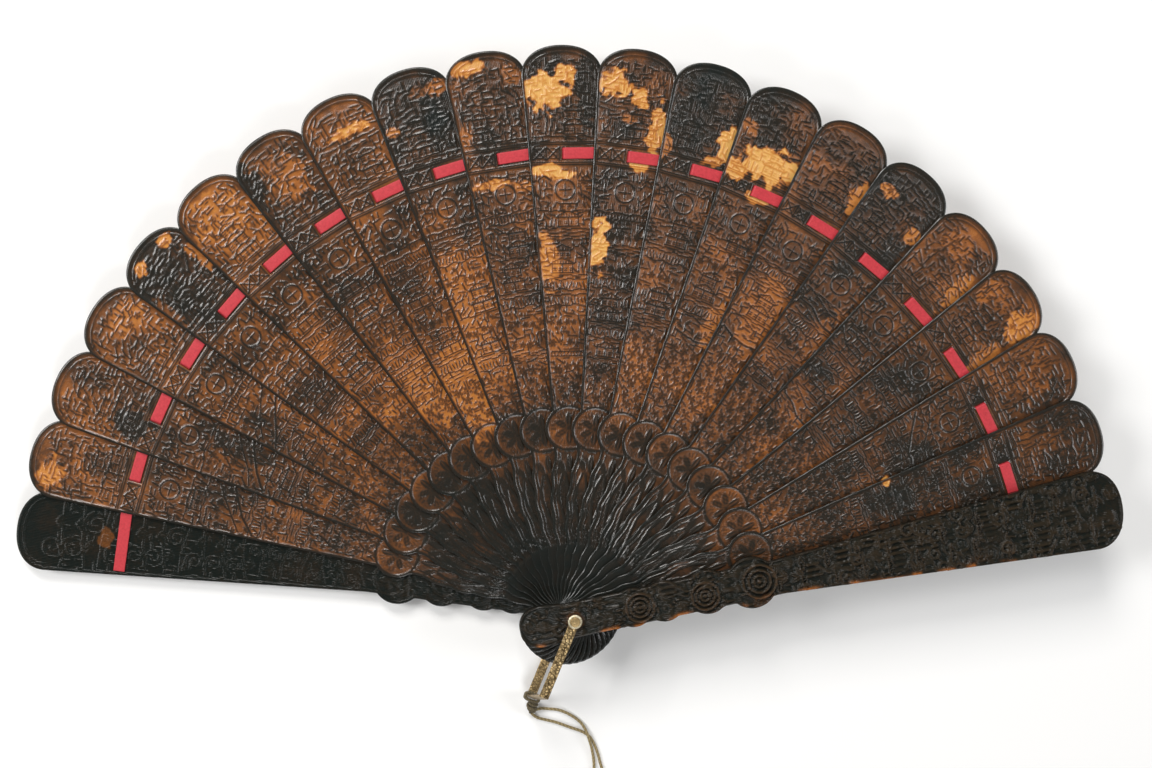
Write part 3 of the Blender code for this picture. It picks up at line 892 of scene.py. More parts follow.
# The parts of the relief that every stick shares: ribbon band, ring, medallion, leaf and head
def drawCommonParts(relief, halfWidth):
    b = bladeSettings
    band = b["ribbonPlace"]
    edge = innerLimit(halfWidth, 1.0)(band)
    relief.sink(0, band, 14, 4.0, 0.0)
    for offset in (-3.6, -2.9, 2.9, 3.6):
        relief.line([(-edge, band + offset), (edge, band + offset)], 0.46)
    left, right, half = -edge + 0.4, -1.2, 2.1
    middle = (left + right) / 2
    for x in (left, right, middle):
        relief.bar(x, band, 2 * half, 0.5, 90)
    for cellLow, cellHigh in ((left, middle), (middle, right)):
        span = cellHigh - cellLow
        centre = (cellLow + cellHigh) / 2
        slope = math.degrees(math.atan2(2 * half, span))
        relief.bar(centre, band, math.hypot(span, 2 * half) - 0.4, 0.58, slope)
        relief.bar(centre, band, math.hypot(span, 2 * half) - 0.4, 0.58, -slope)
        for side in (-1, 1):
            relief.bar(centre, band + side * 1.55, span * 0.4, 0.42, 0, 0.9)
            relief.bar(centre + side * span * 0.33, band, 1.5, 0.42, 90, 0.9)
    coinX, coinY = 0.3, 135.2
    relief.sink(coinX, coinY, 3.9, 3.6, 0.0)
    relief.ring(coinX, coinY, 3.1, 0.66)
    for degrees in (90, 0):
        relief.bar(coinX, coinY, 3.6, 0.5, degrees)
    for side in (-1, 1):
        for step, slant in enumerate((62, 38, -38)):
            relief.bar(coinX + side * (4.6 + 1.5 * step), 139.6 - 0.4 * step, 2.4, 0.45, side * slant)
    centre = b["medallionPlace"]
    relief.sink(0, centre, 6.6, 6.6, 0.0)
    relief.ring(0, centre, b["medallionRadius"] - 0.6, 1.05)
    for petal in range(6):
        angle = 90 + 60 * petal
        relief.leaf(*polar(0, centre, angle, 2.9), 5.0, 2.5, angle)
        for spread in (18, 30, 42):
            relief.bar(*polar(0, centre, angle + spread, 4.9), 1.3, 0.42, angle + spread, 0.6)
    relief.dot(0, centre, 0.9)
    for side in (-1, 1):
        for inset, width in ((0.55, 0.5), (1.75, 0.42)):
            limit = innerLimit(halfWidth, inset)
            relief.line([(side * limit(y), y) for y in np.arange(24.5, 52.5, 1.0)], width)
        for y in np.arange(26, 52, 1.15):
            relief.bar(side * innerLimit(halfWidth, 1.15)(y), y, 0.8, 0.3, 0, 0.7)
    for step, x in enumerate(np.linspace(-2.7, 2.7, 4)):
        sway = 0.75 * (-1) ** step
        stops = ((26.0, 0.60, 0.5), (29.0, 0.85, 1.0), (33.0, 1.0, 0.0), (37.0, 1.05, -1.0),
                 (41.0, 1.1, -0.6), (45.0, 1.0, 0.6))
        relief.line([(x * reach + sway * share, y) for y, reach, share in stops], 1.05, 0.85)
    for y in np.arange(26.5, 46, 0.95):
        relief.bar(1.3 * math.sin(1.9 * y), y, 4.6, 0.36, 14 * math.sin(2.0 * y), 0.28)
    for x, degrees, length in ((-2.7, 118, 5.2), (0.0, 90, 6.6), (2.7, 62, 5.2)):
        relief.leaf(x, 48.4 - 0.25 * abs(x), length, 2.3, degrees)
    for ring in range(2):
        relief.line([(x, 25.6 - 1.5 * ring + 0.16 * x * x) for x in np.linspace(-3.4, 3.4, 9)], 0.6)
    relief.sink(0, 8.6, 6.0, 13.6, 0.9)
    relief.sink(0, -5.0, 8.0, 5.0, 0.88)
    for step, x in enumerate(np.linspace(-3.6, 3.6, 7)):
        relief.line([(x, -9.0), (x * 0.9, -12.5), (x * 0.62, -15.6)], 0.5)
    relief.line([(x, -8.4 - 0.05 * x * x) for x in np.linspace(-4.0, 4.0, 9)], 0.5)


sceneSettings = {
    # degrees of the short strokes, for the sticks that have them at their own slant
    "slants": {1: 58, 2: 52, 3: 48, 4: 40, 13: -18, 14: -22, 15: -26, 16: -30, 17: -52, 18: -58, 19: -56},
    "order": ("garden", "pavilion", "fence", "rocks", "pavilion", "garden", "rocks", "water"),
    "leafySticks": (1, 2, 3, 18, 19),
    "leafyOrder": ("garden", "rocks", "garden", "pavilion", "garden", "branch", "water", "rocks"),
    "rockySticks": (13, 14, 15, 16, 17),
    "rockyOrder": ("garden", "rocks", "pavilion", "rocks", "branch", "pavilion", "garden", "water"),
    "low": 66.6,
    "high": 127.5,
    "fillPitch": 1.2,
    "fillLengths": (1.0, 3.0),
    "fillWidth": 0.58,
}


def drawStickScene(relief, halfWidth, number):
    random = relief.random
    limit = innerLimit(halfWidth, 1.5)
    slant = sceneSettings["slants"].get(number, random.choice([-45, 45]))
    y = sceneSettings["low"]
    gardenTop = 92.0 if number >= 12 else 80.0
    row = 0
    while y < gardenTop:
        edge = limit(y) - 0.3
        count = max(int(2 * edge / 2.9), 2)
        for place in range(count):
            x = -edge + (place + 0.5 + 0.25 * (row % 2)) * 2 * edge / count
            relief.blossom(min(x, edge), y + random.uniform(-0.4, 0.4), random.uniform(1.5, 1.9), 5)
            relief.leaf(x - 1.3, y + 1.5, 1.9, 0.9, random.uniform(20, 160))
        y += 3.1
        row += 1
    order = random.permutation(sceneSettings["order"])
    if number in sceneSettings["leafySticks"]:
        order = random.permutation(sceneSettings["leafyOrder"])
    if number in sceneSettings["rockySticks"]:
        order = random.permutation(sceneSettings["rockyOrder"])
    index = 0
    while y < sceneSettings["high"]:
        kind = order[index % len(order)]
        index += 1
        edge = limit(y)
        if kind == "pavilion":
            side = random.uniform(-0.35, 0.35) * edge
            tall = relief.pavilion(side, y + 0.9, min(edge * 1.05, 6.4), 2 if y > 90 else 1)
            relief.groundLine(-edge, edge, y + 0.2, 0.2)
            y += tall + 2.0
        elif kind == "garden":
            for x in np.arange(-edge + 0.8, edge, 2.5):
                relief.blossom(x + random.uniform(-0.3, 0.3), y + 1.6 + random.uniform(-0.6, 0.6),
                               random.uniform(1.1, 1.6), random.integers(5, 7))
            relief.tree(random.uniform(-0.5, 0.5) * edge, y + 2.2, 4.4, edge * 0.5)
            y += 6.6
        elif kind == "fence":
            relief.fence(-edge, edge, y + 0.5)
            y += 3.2
        elif kind == "rocks":
            relief.groundLine(-edge, edge, y + 0.4, 0.35, 0.5)
            for x in np.arange(-edge + 0.5, edge, 1.05):
                relief.bar(x, y + 1.9, random.uniform(1.2, 2.6), 0.45, 90 + random.uniform(-25, 25))
            relief.groundLine(-edge, edge, y + 3.7, 0.3)
            y += 4.8
        elif kind == "branch":
            reach = math.tan(math.radians(min(max(slant, -50), 50))) * edge
            for start, thick in ((y + 1.6, 0.8), (y + 6.4, 0.5)):
                bend = random.uniform(-1.2, 1.6)
                relief.line([(-edge, start - reach * 0.5),
                             (-0.3 * edge, start + bend - reach * 0.15),
                             (0.4 * edge, start + 0.4 * bend + reach * 0.3),
                             (edge, start + reach * 0.5 + 1.0)], thick)
            for x in np.arange(-edge + 0.9, edge, 2.3):
                relief.leaf(x + random.uniform(-0.5, 0.5),
                            y + 4.2 + x * reach / edge * 0.5 + random.uniform(-1.1, 1.1),
                            random.uniform(1.8, 3.2), 1.1, random.uniform(0, 180))
            y += 8.4
        else:
            for step in range(3):
                relief.groundLine(-edge, edge, y + 0.6 + 1.05 * step, 0.22, 0.34)
            y += 3.8
    relief.groundLine(-limit(128), limit(128), 128.6, 0.12, 0.4)
    for x in np.arange(-limit(130) + 0.8, limit(130), 2.3):
        relief.leaf(x, 130.4, 2.6, 1.0, 90 + random.uniform(-40, 40))
    edge = limit(152)
    relief.groundLine(-edge, edge, 151.8, 0.15)
    side = random.uniform(-0.3, 0.3) * edge
    if number % 3 == 1:
        relief.tree(-edge * 0.55, 152.6, 11.0, edge * 0.4)
        relief.pavilion(edge * 0.35, 152.6, 6.0, 2)
    elif number % 3 == 2:
        relief.pavilion(side, 152.6, 8.5, 3)
    else:
        relief.pavilion(-edge * 0.4, 152.4, 5.6, 2)
        relief.tree(edge * 0.5, 152.6, 10.0, edge * 0.4)
    for x in np.linspace(-edge * 0.6, edge * 0.6, 4):
        relief.blossom(x + random.uniform(-0.6, 0.6), 169.0 + random.uniform(-1.5, 0.6) - 0.02 * x * x,
                       1.5, 5)
    tipLimit = innerLimit(lambda r: np.minimum(halfWidth(r), 12.6), 2.4)
    for low, high, fillLimit in ((63.0, 142.2, limit), (150.9, 175.0, tipLimit)):
        relief.fill(low, high, fillLimit, sceneSettings["fillPitch"], sceneSettings["fillLengths"],
                    sceneSettings["fillWidth"], slant)


guardRosettes = ((0.3, 21.0, 4.9), (1.0, 42.0, 4.8), (0.0, 59.8, 5.8))


def clearOfRosettes(x, y, gap):
    return all(math.hypot(x - px, y - py) > radius + gap for px, py, radius in guardRosettes)


def drawFrontGuard(relief, halfWidth):
    random = relief.random
    for x, y, radius in guardRosettes:
        for ring in range(3):
            relief.ring(x, y, radius * (0.92 - 0.3 * ring), 0.95, 1 - 0.08 * ring)
        relief.dot(x, y, 0.16 * radius)
    limit = innerLimit(halfWidth, 0.5)
    for y in np.arange(-14.0, 177.0, 4.4):
        edge = limit(min(y, 168.0)) - max(0.0, (y - 168.0) * 0.55) if y > 0 else 5.6 - 0.02 * y * y
        for x in np.arange(-edge + 1.5, edge, 4.7):
            px, py = x + random.uniform(-0.9, 0.9), y + random.uniform(-0.9, 0.9)
            if not clearOfRosettes(px, py, 0.8):
                continue
            kind, tall, turn = random.random(), random.uniform(0.4, 1.0), random.uniform(0, 360)
            if kind < 0.24:
                relief.spiral(px, py, random.uniform(2.5, 3.4), 1.35, 1.2, random.choice([-1, 1]), turn,
                              tall)
            elif kind < 0.44:
                for degrees in (turn - 42, turn, turn + 42):
                    relief.leaf(*polar(px, py, degrees, 1.8), 4.4, 2.1, degrees, tall)
            elif kind < 0.6:
                relief.dot(px, py + 1.1, random.uniform(1.7, 2.4), tall)
                relief.bar(px, py - 1.7, 3.0, 2.0, 90, 0.75 * tall)
            elif kind < 0.88:
                for step in range(3):
                    relief.bar(px - 1.9 + 1.9 * step, py, random.uniform(3.2, 5.0), 1.15, 90, tall)
                relief.bar(px, py + 2.7, 5.8, 1.15, random.choice([0, 25, 50, -35]), tall)
            else:
                relief.blossom(px, py, random.uniform(2.1, 2.7), 5, tall)
    for y in np.arange(64.0, 172.0, 9.5):
        edge = limit(min(y, 166.0))
        for x in (-0.45 * edge, 0.5 * edge):
            relief.roof(x + random.uniform(-0.6, 0.6), y + random.uniform(-1.5, 1.5), 0.72 * edge)
    relief.fill(-13.0, 172.0, lambda r: limit(min(r, 166.0)) if r > 0 else 4.6, 1.6, (0.8, 2.2), 0.7, 45)


def drawRearGuard(relief, halfWidth):
    random = relief.random
    for x, y, radius in guardRosettes:
        relief.ring(x, y, radius * 0.95, 0.8)
        relief.blossom(x, y, radius * 0.72, 6)
    limit = innerLimit(halfWidth, 2.0)
    for y in np.arange(-11.0, 170.0, 6.4):
        edge = limit(min(y, 164.0)) if y > 0 else 3.2
        if not clearOfRosettes(0.0, y, 1.5):
            continue
        sway = random.choice([-1, 1])
        relief.spiral(sway * edge * 0.45, y, edge * 0.42, 1.5, 0.5, sway, random.uniform(0, 360), 0.9)
        for step in range(4):
            a = sway * (35 + 32 * step)
            relief.leaf(-sway * edge * 0.35 + 1.2 * math.cos(math.radians(a)),
                        y + 1.6 * math.sin(math.radians(a)), 3.6, 1.0, a, 0.85)
        relief.line([(-edge, y - 3.0 + sway), (0, y - 2.4), (edge, y - 3.2 - sway)], 0.42, 0.8)
    relief.fill(-10.0, 168.0, lambda r: limit(min(r, 162.0)) if r > 0 else 3.0, 2.2, (1.2, 3.0), 0.42, 50,
                0.7)


# ---- how dark or honey-coloured each blade is: 0 black, 0.5 brown, 1 honey

toneSettings = {
    "stops": (20.0, 45.0, 62.0, 80.0, 110.0, 135.0, 160.0),
    "leftGorge": (0.08, 0.20, 0.32),
    "rightGorge": (0.08, 0.26, 0.38),
    "rightFrom": 9,
    "mottle": 0.30,
    "blackBelow": 0.2,        # of the lower body; such a blade has its own stops and less mottling
    "blackStops": (20.0, 80.0, 110.0, 135.0, 160.0),
    "blackMottle": 0.12,
    # tip, below the ribbon, middle, lower body
    "rows": {
        0: (0.03, 0.03, 0.03, 0.04), 1: (0.46, 0.38, 0.36, 0.44), 2: (0.42, 0.34, 0.33, 0.40),
        3: (0.46, 0.37, 0.37, 0.40), 4: (0.20, 0.36, 0.40, 0.48), 5: (0.54, 0.38, 0.42, 0.54),
        6: (0.40, 0.37, 0.40, 0.60), 7: (0.48, 0.38, 0.40, 0.64), 8: (0.15, 0.38, 0.56, 0.60),
        9: (0.32, 0.38, 0.36, 0.52), 10: (0.25, 0.42, 0.47, 0.50), 11: (0.30, 0.32, 0.30, 0.38),
        12: (0.14, 0.38, 0.40, 0.48), 13: (0.28, 0.38, 0.43, 0.50), 14: (0.36, 0.38, 0.42, 0.44),
        15: (0.22, 0.32, 0.37, 0.42), 16: (0.44, 0.31, 0.31, 0.44), 17: (0.42, 0.28, 0.30, 0.40),
        18: (0.38, 0.27, 0.26, 0.36), 19: (0.34, 0.25, 0.24, 0.31), 20: (0.08, 0.07, 0.08, 0.10),
    },
    # x, y, reach across, reach along, tone
    "patches": {
        0: ((0.0, 152.0, 3.0, 2.6, 0.40),),
        1: ((-6.0, 172.5, 6.0, 5.0, 0.80), (2.0, 155.0, 4.0, 8.0, 0.35)),
        2: ((-4.0, 152.5, 5.0, 6.0, 0.18), (4.0, 118.0, 4.0, 12.0, 0.22)),
        3: ((3.0, 170.0, 6.0, 5.0, 0.68),),
        4: ((-5.5, 174.5, 2.2, 2.0, 0.85), (6.0, 175.0, 2.6, 2.0, 0.85), (9.5, 164.0, 1.8, 6.0, 0.65),
            (-10.0, 160.0, 2.0, 6.0, 0.45)),
        5: ((0.0, 168.0, 9.0, 8.0, 0.70),),
        6: ((1.0, 164.0, 6.5, 8.0, 0.62), (-10.0, 168.0, 3.5, 8.0, 0.16), (2.0, 86.0, 7.0, 12.0, 0.68)),
        7: ((2.0, 168.5, 6.0, 1.8, 0.90), (0.0, 80.0, 7.0, 16.0, 0.70)),
        8: ((-9.0, 162.5, 2.2, 2.0, 0.75), (8.0, 172.0, 4.0, 3.0, 0.62), (2.5, 172.0, 3.0, 2.0, 0.45),
            (-3.0, 100.0, 6.0, 22.0, 0.66), (-2.0, 160.0, 3.0, 3.0, 0.3)),
        9: ((-5.5, 175.5, 5.5, 2.6, 0.90), (8.0, 172.0, 3.0, 3.0, 0.55), (-3.0, 139.0, 6.0, 1.9, 0.85),
            (-9.0, 155.0, 2.0, 4.0, 0.6), (7.0, 137.0, 3.0, 2.0, 0.7)),
        10: ((-6.0, 166.5, 7.0, 6.5, 1.0), (1.5, 171.0, 3.0, 3.5, 0.95), (-4.0, 141.0, 6.5, 2.2, 0.97),
             (-6.0, 113.0, 5.0, 8.0, 0.82), (9.0, 165.0, 4.0, 12.0, 0.15), (8.0, 150.0, 3.5, 3.0, 0.3)),
        11: ((-7.0, 169.0, 4.5, 5.0, 0.95), (2.0, 164.5, 2.6, 3.5, 0.95), (8.0, 156.0, 3.0, 9.0, 0.92),
             (3.5, 144.0, 2.6, 2.2, 0.95), (-6.0, 117.0, 3.2, 8.5, 1.0), (-2.0, 158.0, 3.0, 2.0, 0.6)),
        12: ((9.5, 156.5, 3.6, 5.5, 1.0), (5.0, 150.5, 4.0, 2.0, 0.85), (-10.5, 152.0, 2.4, 4.0, 0.7)),
        13: ((2.0, 155.5, 11.0, 6.2, 1.0), (-8.0, 150.5, 5.0, 3.0, 0.95), (-8.0, 164.0, 3.0, 3.0, 0.6),
             (6.0, 103.0, 4.0, 10.0, 0.66), (2.0, 145.0, 3.0, 2.0, 0.9)),
        14: ((9.5, 160.0, 2.6, 6.0, 0.75), (2.0, 112.0, 5.0, 14.0, 0.62), (-3.0, 170.0, 4.0, 4.0, 0.3)),
        15: ((-6.5, 168.0, 3.0, 2.0, 0.75), (8.5, 162.0, 2.6, 3.0, 0.72), (6.0, 118.0, 4.0, 10.0, 0.5)),
        16: ((8.5, 160.0, 2.6, 8.0, 0.72), (-2.0, 170.0, 6.0, 4.0, 0.58)),
        17: ((7.0, 170.0, 4.5, 6.0, 0.80), (9.0, 155.0, 2.5, 8.0, 0.66), (-8.0, 168.0, 3.0, 4.0, 0.62)),
        18: ((8.4, 108.4, 2.2, 1.5, 0.95), (1.0, 165.0, 6.0, 6.0, 0.5)),
        19: ((-7.2, 108.5, 1.6, 1.4, 0.95),),
        20: ((9.5, 102.0, 2.6, 9.0, 0.5), (6.5, 60.0, 2.0, 4.0, 0.45), (8.0, 130.0, 1.6, 5.0, 0.3)),
    },
}


def toneOf(number, x, y):
    s = toneSettings
    tip, upper, middle, lower = s["rows"][number]
    isBlack = lower < s["blackBelow"]
    if isBlack:
        tone = np.interp(y, s["blackStops"], (lower, lower, middle, upper, tip))
    else:
        gorge = s["leftGorge" if number < s["rightFrom"] else "rightGorge"]
        tone = np.interp(y, s["stops"], (*gorge, lower, middle, upper, tip))
    strength = s["blackMottle" if isBlack else "mottle"]
    tone = tone + strength * (patches(100 + number, x, y, 7.5) - 0.5) * np.clip((y - 20) / 40, 0.3, 1)
    tone = tone + 0.5 * strength * (patches(200 + number, x, y, 2.4) - 0.5)
    wobble = patches(300 + number, x, y, 2.6) - 0.5 + 0.6 * (patches(400 + number, x, y, 1.1) - 0.5)
    for px, py, reachX, reachY, value in toneSettings["patches"].get(number, ()):
        distance = np.hypot((x - px) / reachX, (y - py) / reachY) + 0.75 * wobble
        weight = np.clip((1.08 - distance) / 0.22, 0, 1)
        tone = tone * (1 - weight) + value * weight
    return np.clip(tone, 0, 1)


# ---- the shell's finish

shellSettings = {
    "ramp": ((0.0, (0.0085, 0.0115, 0.0100)), (0.20, (0.026, 0.0170, 0.0105)),
             (0.40, (0.110, 0.042, 0.0140)), (0.60, (0.30, 0.100, 0.0220)),
             (0.80, (0.53, 0.205, 0.040)), (1.0, (0.70, 0.385, 0.105))),
    "raisedShare": 0.62,      # how dark the raised parts look beside the ground
    "paintedOliveTopLight": (0.080, 0.055, 0.027),
    # slot, name, roughness, coat, share of painted olive light on the raised tops, specular level
    "kinds": (("amber_shell", "amberTortoiseshell", 0.25, 0.35, 0.0, 0.4),
              ("brown_shell", "brownTortoiseshell", 0.26, 0.35, 0.0, 0.4),
              ("dark_shell", "darkTortoiseshell", 0.26, 0.35, 0.0, 0.4),
              ("guard_shell", "guardTortoiseshell", 0.19, 0.0, 0.5, 0.16)),
}


def shellMaterial(name, roughness, coat, olive, specular):
    material, tree, shader = newMaterial(name)
    place = attributeNode(tree, "bladePlace", "Vector")
    tone = attributeNode(tree, "shellTone")
    raised = attributeNode(tree, "reliefHeight")
    mottle = textureNode(tree, "Noise", place, Scale=0.9, Detail=5.0, Roughness=0.62)
    grain = textureNode(tree, "Noise", place, Scale=4.5, Detail=3.0)
    shift = mathNode(tree, "MULTIPLY_ADD", mottle, 0.34, -0.17)
    shift = mathNode(tree, "MULTIPLY_ADD", grain, 0.16, mathNode(tree, "ADD", shift, -0.08))
    mixed = mathNode(tree, "ADD", tone, shift, clamp=True)
    # honey patches are clear right through, so their relief is hardly darker than their ground
    cloudy = mathNode(tree, "MULTIPLY_ADD", tone, -3.2, 3.3, clamp=True)
    raisedHere = mathNode(tree, "MULTIPLY", raised, mathNode(tree, "MULTIPLY_ADD", cloudy, 0.8, 0.2))
    lift = mathNode(tree, "MULTIPLY_ADD", raisedHere, -shellSettings["raisedShare"], 1.0)
    ground = rampNode(tree, mathNode(tree, "MULTIPLY", mixed, lift, clamp=True), shellSettings["ramp"])
    if olive:
        # painted light: the raised tops are tinted a lighter olive brown
        wornLumpsAndLitTops = mathNode(tree, "MULTIPLY", raised, olive, clamp=True)
        ground = mixColours(tree, wornLumpsAndLitTops, ground, shellSettings["paintedOliveTopLight"])
    hatch = bandsNode(tree, place, "X", 0.62, 0.8, Detail=1.0)
    strokes = mathNode(tree, "MULTIPLY", hatch, mathNode(tree, "SUBTRACT", 1.0, raised, clamp=True))
    strokes = mathNode(tree, "MULTIPLY_ADD", grain, 0.35, strokes)
    finishShader(tree, shader, ground, strokes, 0.55, 0.00012,
                 {"Roughness": roughness, "Specular IOR Level": specular, "Coat Weight": coat,
                  "Coat Roughness": 0.12})
    return material


shellMaterials = {slot: shellMaterial(*values) for slot, *values in shellSettings["kinds"]}
slotOf = {entry["node"]: entry["material_slot"] for entry in frame["record"]["subparts"]}


edgeSettings = {
    "rim": 0.8,               # width of the plain raised rim
    "tipRim": 0.5,            # more round the tip, where a second line runs inside it
    "tipFrom": 166.0,
    "tipFade": 10.0,
    "softness": 0.28,
    "lineGap": 0.85,
    "lineHalf": 0.3,
    "lineHeight": 0.9,
    "bandShade": 0.62,        # how raised the rim and the line look to the material
    "eyeRadius": 3.4,         # plain round the rivet
    "rounding": 0.4,
    "rimTone": 0.42,          # the sticks' rims are darker
}

frontGuardSettings = {        # worn into lumps of uneven height; painted shade makes it black in its hollows and painted light makes it olive brown on top
    "lumps": ((0.55, 920, 1.7), (0.45, 930, 0.8)),  # share, seed, size
    "wearDepth": 0.5,
    "wearLift": 0.18,
    "edgeHeight": 0.45,
    "hollowShadeShare": 0.45,
    "litTopTone": 0.24,
    "fleckTone": 0.5,
    "fleckSeed": 910,
    "shade": 0.35,
    "rearShade": 0.08,        # the rear guard's relief hardly shows
}

planCache = {}


def wearDown(carved, x, y):
    g = frontGuardSettings
    wornLumpsAndLitTops = sum(share * patches(seed, x, y, size) for share, seed, size in g["lumps"])
    inRosette = np.zeros_like(x)
    for px, py, radius in guardRosettes:
        inRosette = np.maximum(inRosette, np.clip(radius + 0.6 - np.hypot(x - px, y - py), 0, 1))
    carved = (carved * (1 - (1 - inRosette) * g["wearDepth"] * (1 - wornLumpsAndLitTops))
              + g["wearLift"] * (1 - inRosette) * (wornLumpsAndLitTops - 0.4))
    return np.clip(carved, 0, 1)


# The height of one face's relief from 0 to 1, how raised it looks, and its tone
def faceFinish(number, x, y, rim, carved):
    e, g = edgeSettings, frontGuardSettings
    tipShare = np.clip((y - e["tipFrom"]) / e["tipFade"], 0, 1)
    rimWidth = e["rim"] + e["tipRim"] * tipShare
    edgeBand = np.clip((rimWidth + e["softness"] - rim) / e["softness"], 0, 1)
    lineBand = np.clip(1.5 - np.abs(rim - rimWidth - e["lineGap"]) / e["lineHalf"], 0, 1) * tipShare
    inside = carved * (rim > rimWidth)
    height = np.maximum(np.maximum(edgeBand, inside), e["lineHeight"] * lineBand)
    if number == lastBlade:  # carved right out to its worn edges
        height = np.maximum(carved, g["edgeHeight"] * np.clip((e["rim"] - rim) / 0.4, 0, 1))
    height = np.maximum(height, np.clip((e["eyeRadius"] - np.hypot(x, y)) / 0.5, 0, 1))
    tone = toneOf(number, x, y)
    if number == lastBlade:
        # painted shade and light: the shell's tone is cut down in the hollows and raised on the tops,
        # following the relief height
        tone = tone * g["hollowShadeShare"] + g["litTopTone"] * np.clip(height, 0, 1) ** 2
        flecks = np.clip(4 * patches(g["fleckSeed"], x, y, 3.5) - 2.1, 0, 1)
        tone = tone + g["fleckTone"] * flecks * np.clip((1.6 - rim) / 1.2, 0, 1) * (x > 0) * (y < 160)
        return height, g["shade"] * carved, tone
    if number == 0:
        return height, g["rearShade"] * carved, tone
    tone = tone * (e["rimTone"] + (1 - e["rimTone"]) * np.clip((rim - 0.45) / 0.4, 0, 1))
    shown = np.maximum(inside, np.maximum(e["bandShade"] * edgeBand, e["bandShade"] * lineBand))
    return height, shown, tone


# Deletes a face's cells over the rivet and, on a stick, over the ribbon's slot
def cutOpenings(piece, row, column, columns, share, openingRows, withSlot):
    m = meshSettings
    centreRow, slotLow, slotHigh = openingRows
    corners = np.zeros(len(piece.data.polygons) * 4, int)
    piece.data.polygons.foreach_get("vertices", corners)
    corners = corners.reshape(-1, 4)
    fromMiddle = np.abs(column[corners].mean(1) * share - columns / 2)
    faceRow = row[corners].mean(1) * share
    opening = (fromMiddle < m["holeColumns"]) & (np.abs(faceRow - centreRow) < m["holeRows"])
    if withSlot:
        opening |= (fromMiddle < m["slotColumns"]) & (faceRow > slotLow) & (faceRow < slotHigh)
    selectOnly(piece)
    bpy.ops.object.mode_set(mode="EDIT")
    bpy.ops.mesh.select_mode(type="FACE")
    bpy.ops.object.mode_set(mode="OBJECT")
    piece.data.polygons.foreach_set("select", opening)
    bpy.ops.object.mode_set(mode="EDIT")
    bpy.ops.mesh.delete(type="FACE")
    if share == 2:  # the back, which faces down
        bpy.ops.mesh.select_all(action="SELECT")
        bpy.ops.mesh.flip_normals()
    bpy.ops.object.mode_set(mode="OBJECT")


def carveBlade(number, halfWidth, relief, depth, backDepth, columns):
    m = meshSettings
    name = bladeName(number)
    withSlot = 0 < number < lastBlade
    rows = m["headRows"] + m["lowRows"] + m["bodyRows"] + m["slotRows"] + m["tipRows"]
    low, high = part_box(name)
    thickness = (high.z - low.z) / mm
    sides = []
    for part, share in (("Front", 1), ("Back", 2)):
        piece, row, column = gridMesh(name + part, rows // share, columns // share)
        if (withSlot, part) not in planCache:
            plan = bladePlan(row * share, column * share, columns, halfWidth, withSlot)
            planCache[withSlot, part] = (*plan, rimDistance(plan[0], plan[1], outlineOf(halfWidth)))
        x, y, openingRows, rim = planCache[withSlot, part]
        carved = relief.sample(x if part == "Front" else -x, y)
        if part == "Front" and number == lastBlade:
            carved = wearDown(carved, x, y)
        height, shown, tone = faceFinish(number, x, y, rim, carved)
        rounding = carvingSettings["edgeDrop"] * np.clip(1 - rim / edgeSettings["rounding"], 0, 1) ** 2
        if part == "Front":
            z = thickness - depth * (1 - height) - rounding
        else:
            z = backDepth * (1 - height) + rounding
        setPlaces(piece, np.column_stack([x, y, z]) * mm)
        storeNumbers(piece, "shellTone", tone)
        storeNumbers(piece, "reliefHeight", shown)
        storeVectors(piece, "bladePlace", np.column_stack([x + 31.0 * number, y, np.zeros_like(x)]))
        cutOpenings(piece, row, column, columns, share, openingRows, withSlot)
        sides.append(piece)
    blade = joinPieces(sides[0], sides[1:])
    bridgeLoops(blade)
    blade.data.polygons.foreach_set("use_smooth", np.ones(len(blade.data.polygons), bool))
    turnToPlace(blade, number, low.z)
    blade.name = name + "Carved"
    blade.data.materials.append(shellMaterials[slotOf[name]])
    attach(blade, name)
    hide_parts(name)


# Closes a blade's walls: each open loop of the front face is bridged to the back's loop below it
def bridgeLoops(blade):
    builder = bmesh.new()
    builder.from_mesh(blade.data)
    left = {edge for edge in builder.edges if edge.is_boundary}
    loops = []
    while left:
        start = left.pop()
        loop, front = [start], [start]
        while front:
            edge = front.pop()
            for vertex in edge.verts:
                for other in vertex.link_edges:
                    if other in left:
                        left.discard(other)
                        loop.append(other)
                        front.append(other)
        loops.append(loop)
    # hole, slot, outline, each with the front's and the back's loop side by side
    loops.sort(key=lambda loop: max(vertex.co.y for edge in loop for vertex in edge.verts))
    for index in range(0, len(loops), 2):
        bmesh.ops.bridge_loops(builder, edges=loops[index] + loops[index + 1])
    bmesh.ops.dissolve_degenerate(builder, dist=carvingSettings["smallestEdge"], edges=builder.edges[:])
    builder.to_mesh(blade.data)
    builder.free()


def makeBlades():
    c, m = carvingSettings, meshSettings
    for number in range(lastBlade + 1):
        relief = Relief(c["seed"] + 7 * number)
        if 0 < number < lastBlade:
            drawStickScene(relief, stickHalf, number)
            drawCommonParts(relief, stickHalf)
            carveBlade(number, stickHalf, relief, c["stickDepth"], c["stickBackDepth"], m["columns"])
            continue
        draw, depth = (drawFrontGuard, "frontGuardDepth") if number else (drawRearGuard, "rearGuardDepth")
        draw(relief, guardHalf)
        carveBlade(number, guardHalf, relief, c[depth], c["guardBackDepth"], m["guardColumns"])


makeBlades()
print("blades carved")


# ---- the red ribbon: one stretch on each blade

ribbonSettings = {
    "width": 3.6,
    "thickness": 0.08,
    "lift": 0.05,
    "endMargin": 1.3,
    "crown": 0.05,            # how far its middle stands above its edges
    "colours": ((0.0, (0.28, 0.009, 0.015)), (0.45, (0.50, 0.025, 0.037)), (1.0, (0.64, 0.045, 0.062))),
    "ribPitch": 0.32,
    "alongSteps": 60,
    "acrossSteps": 10,
}


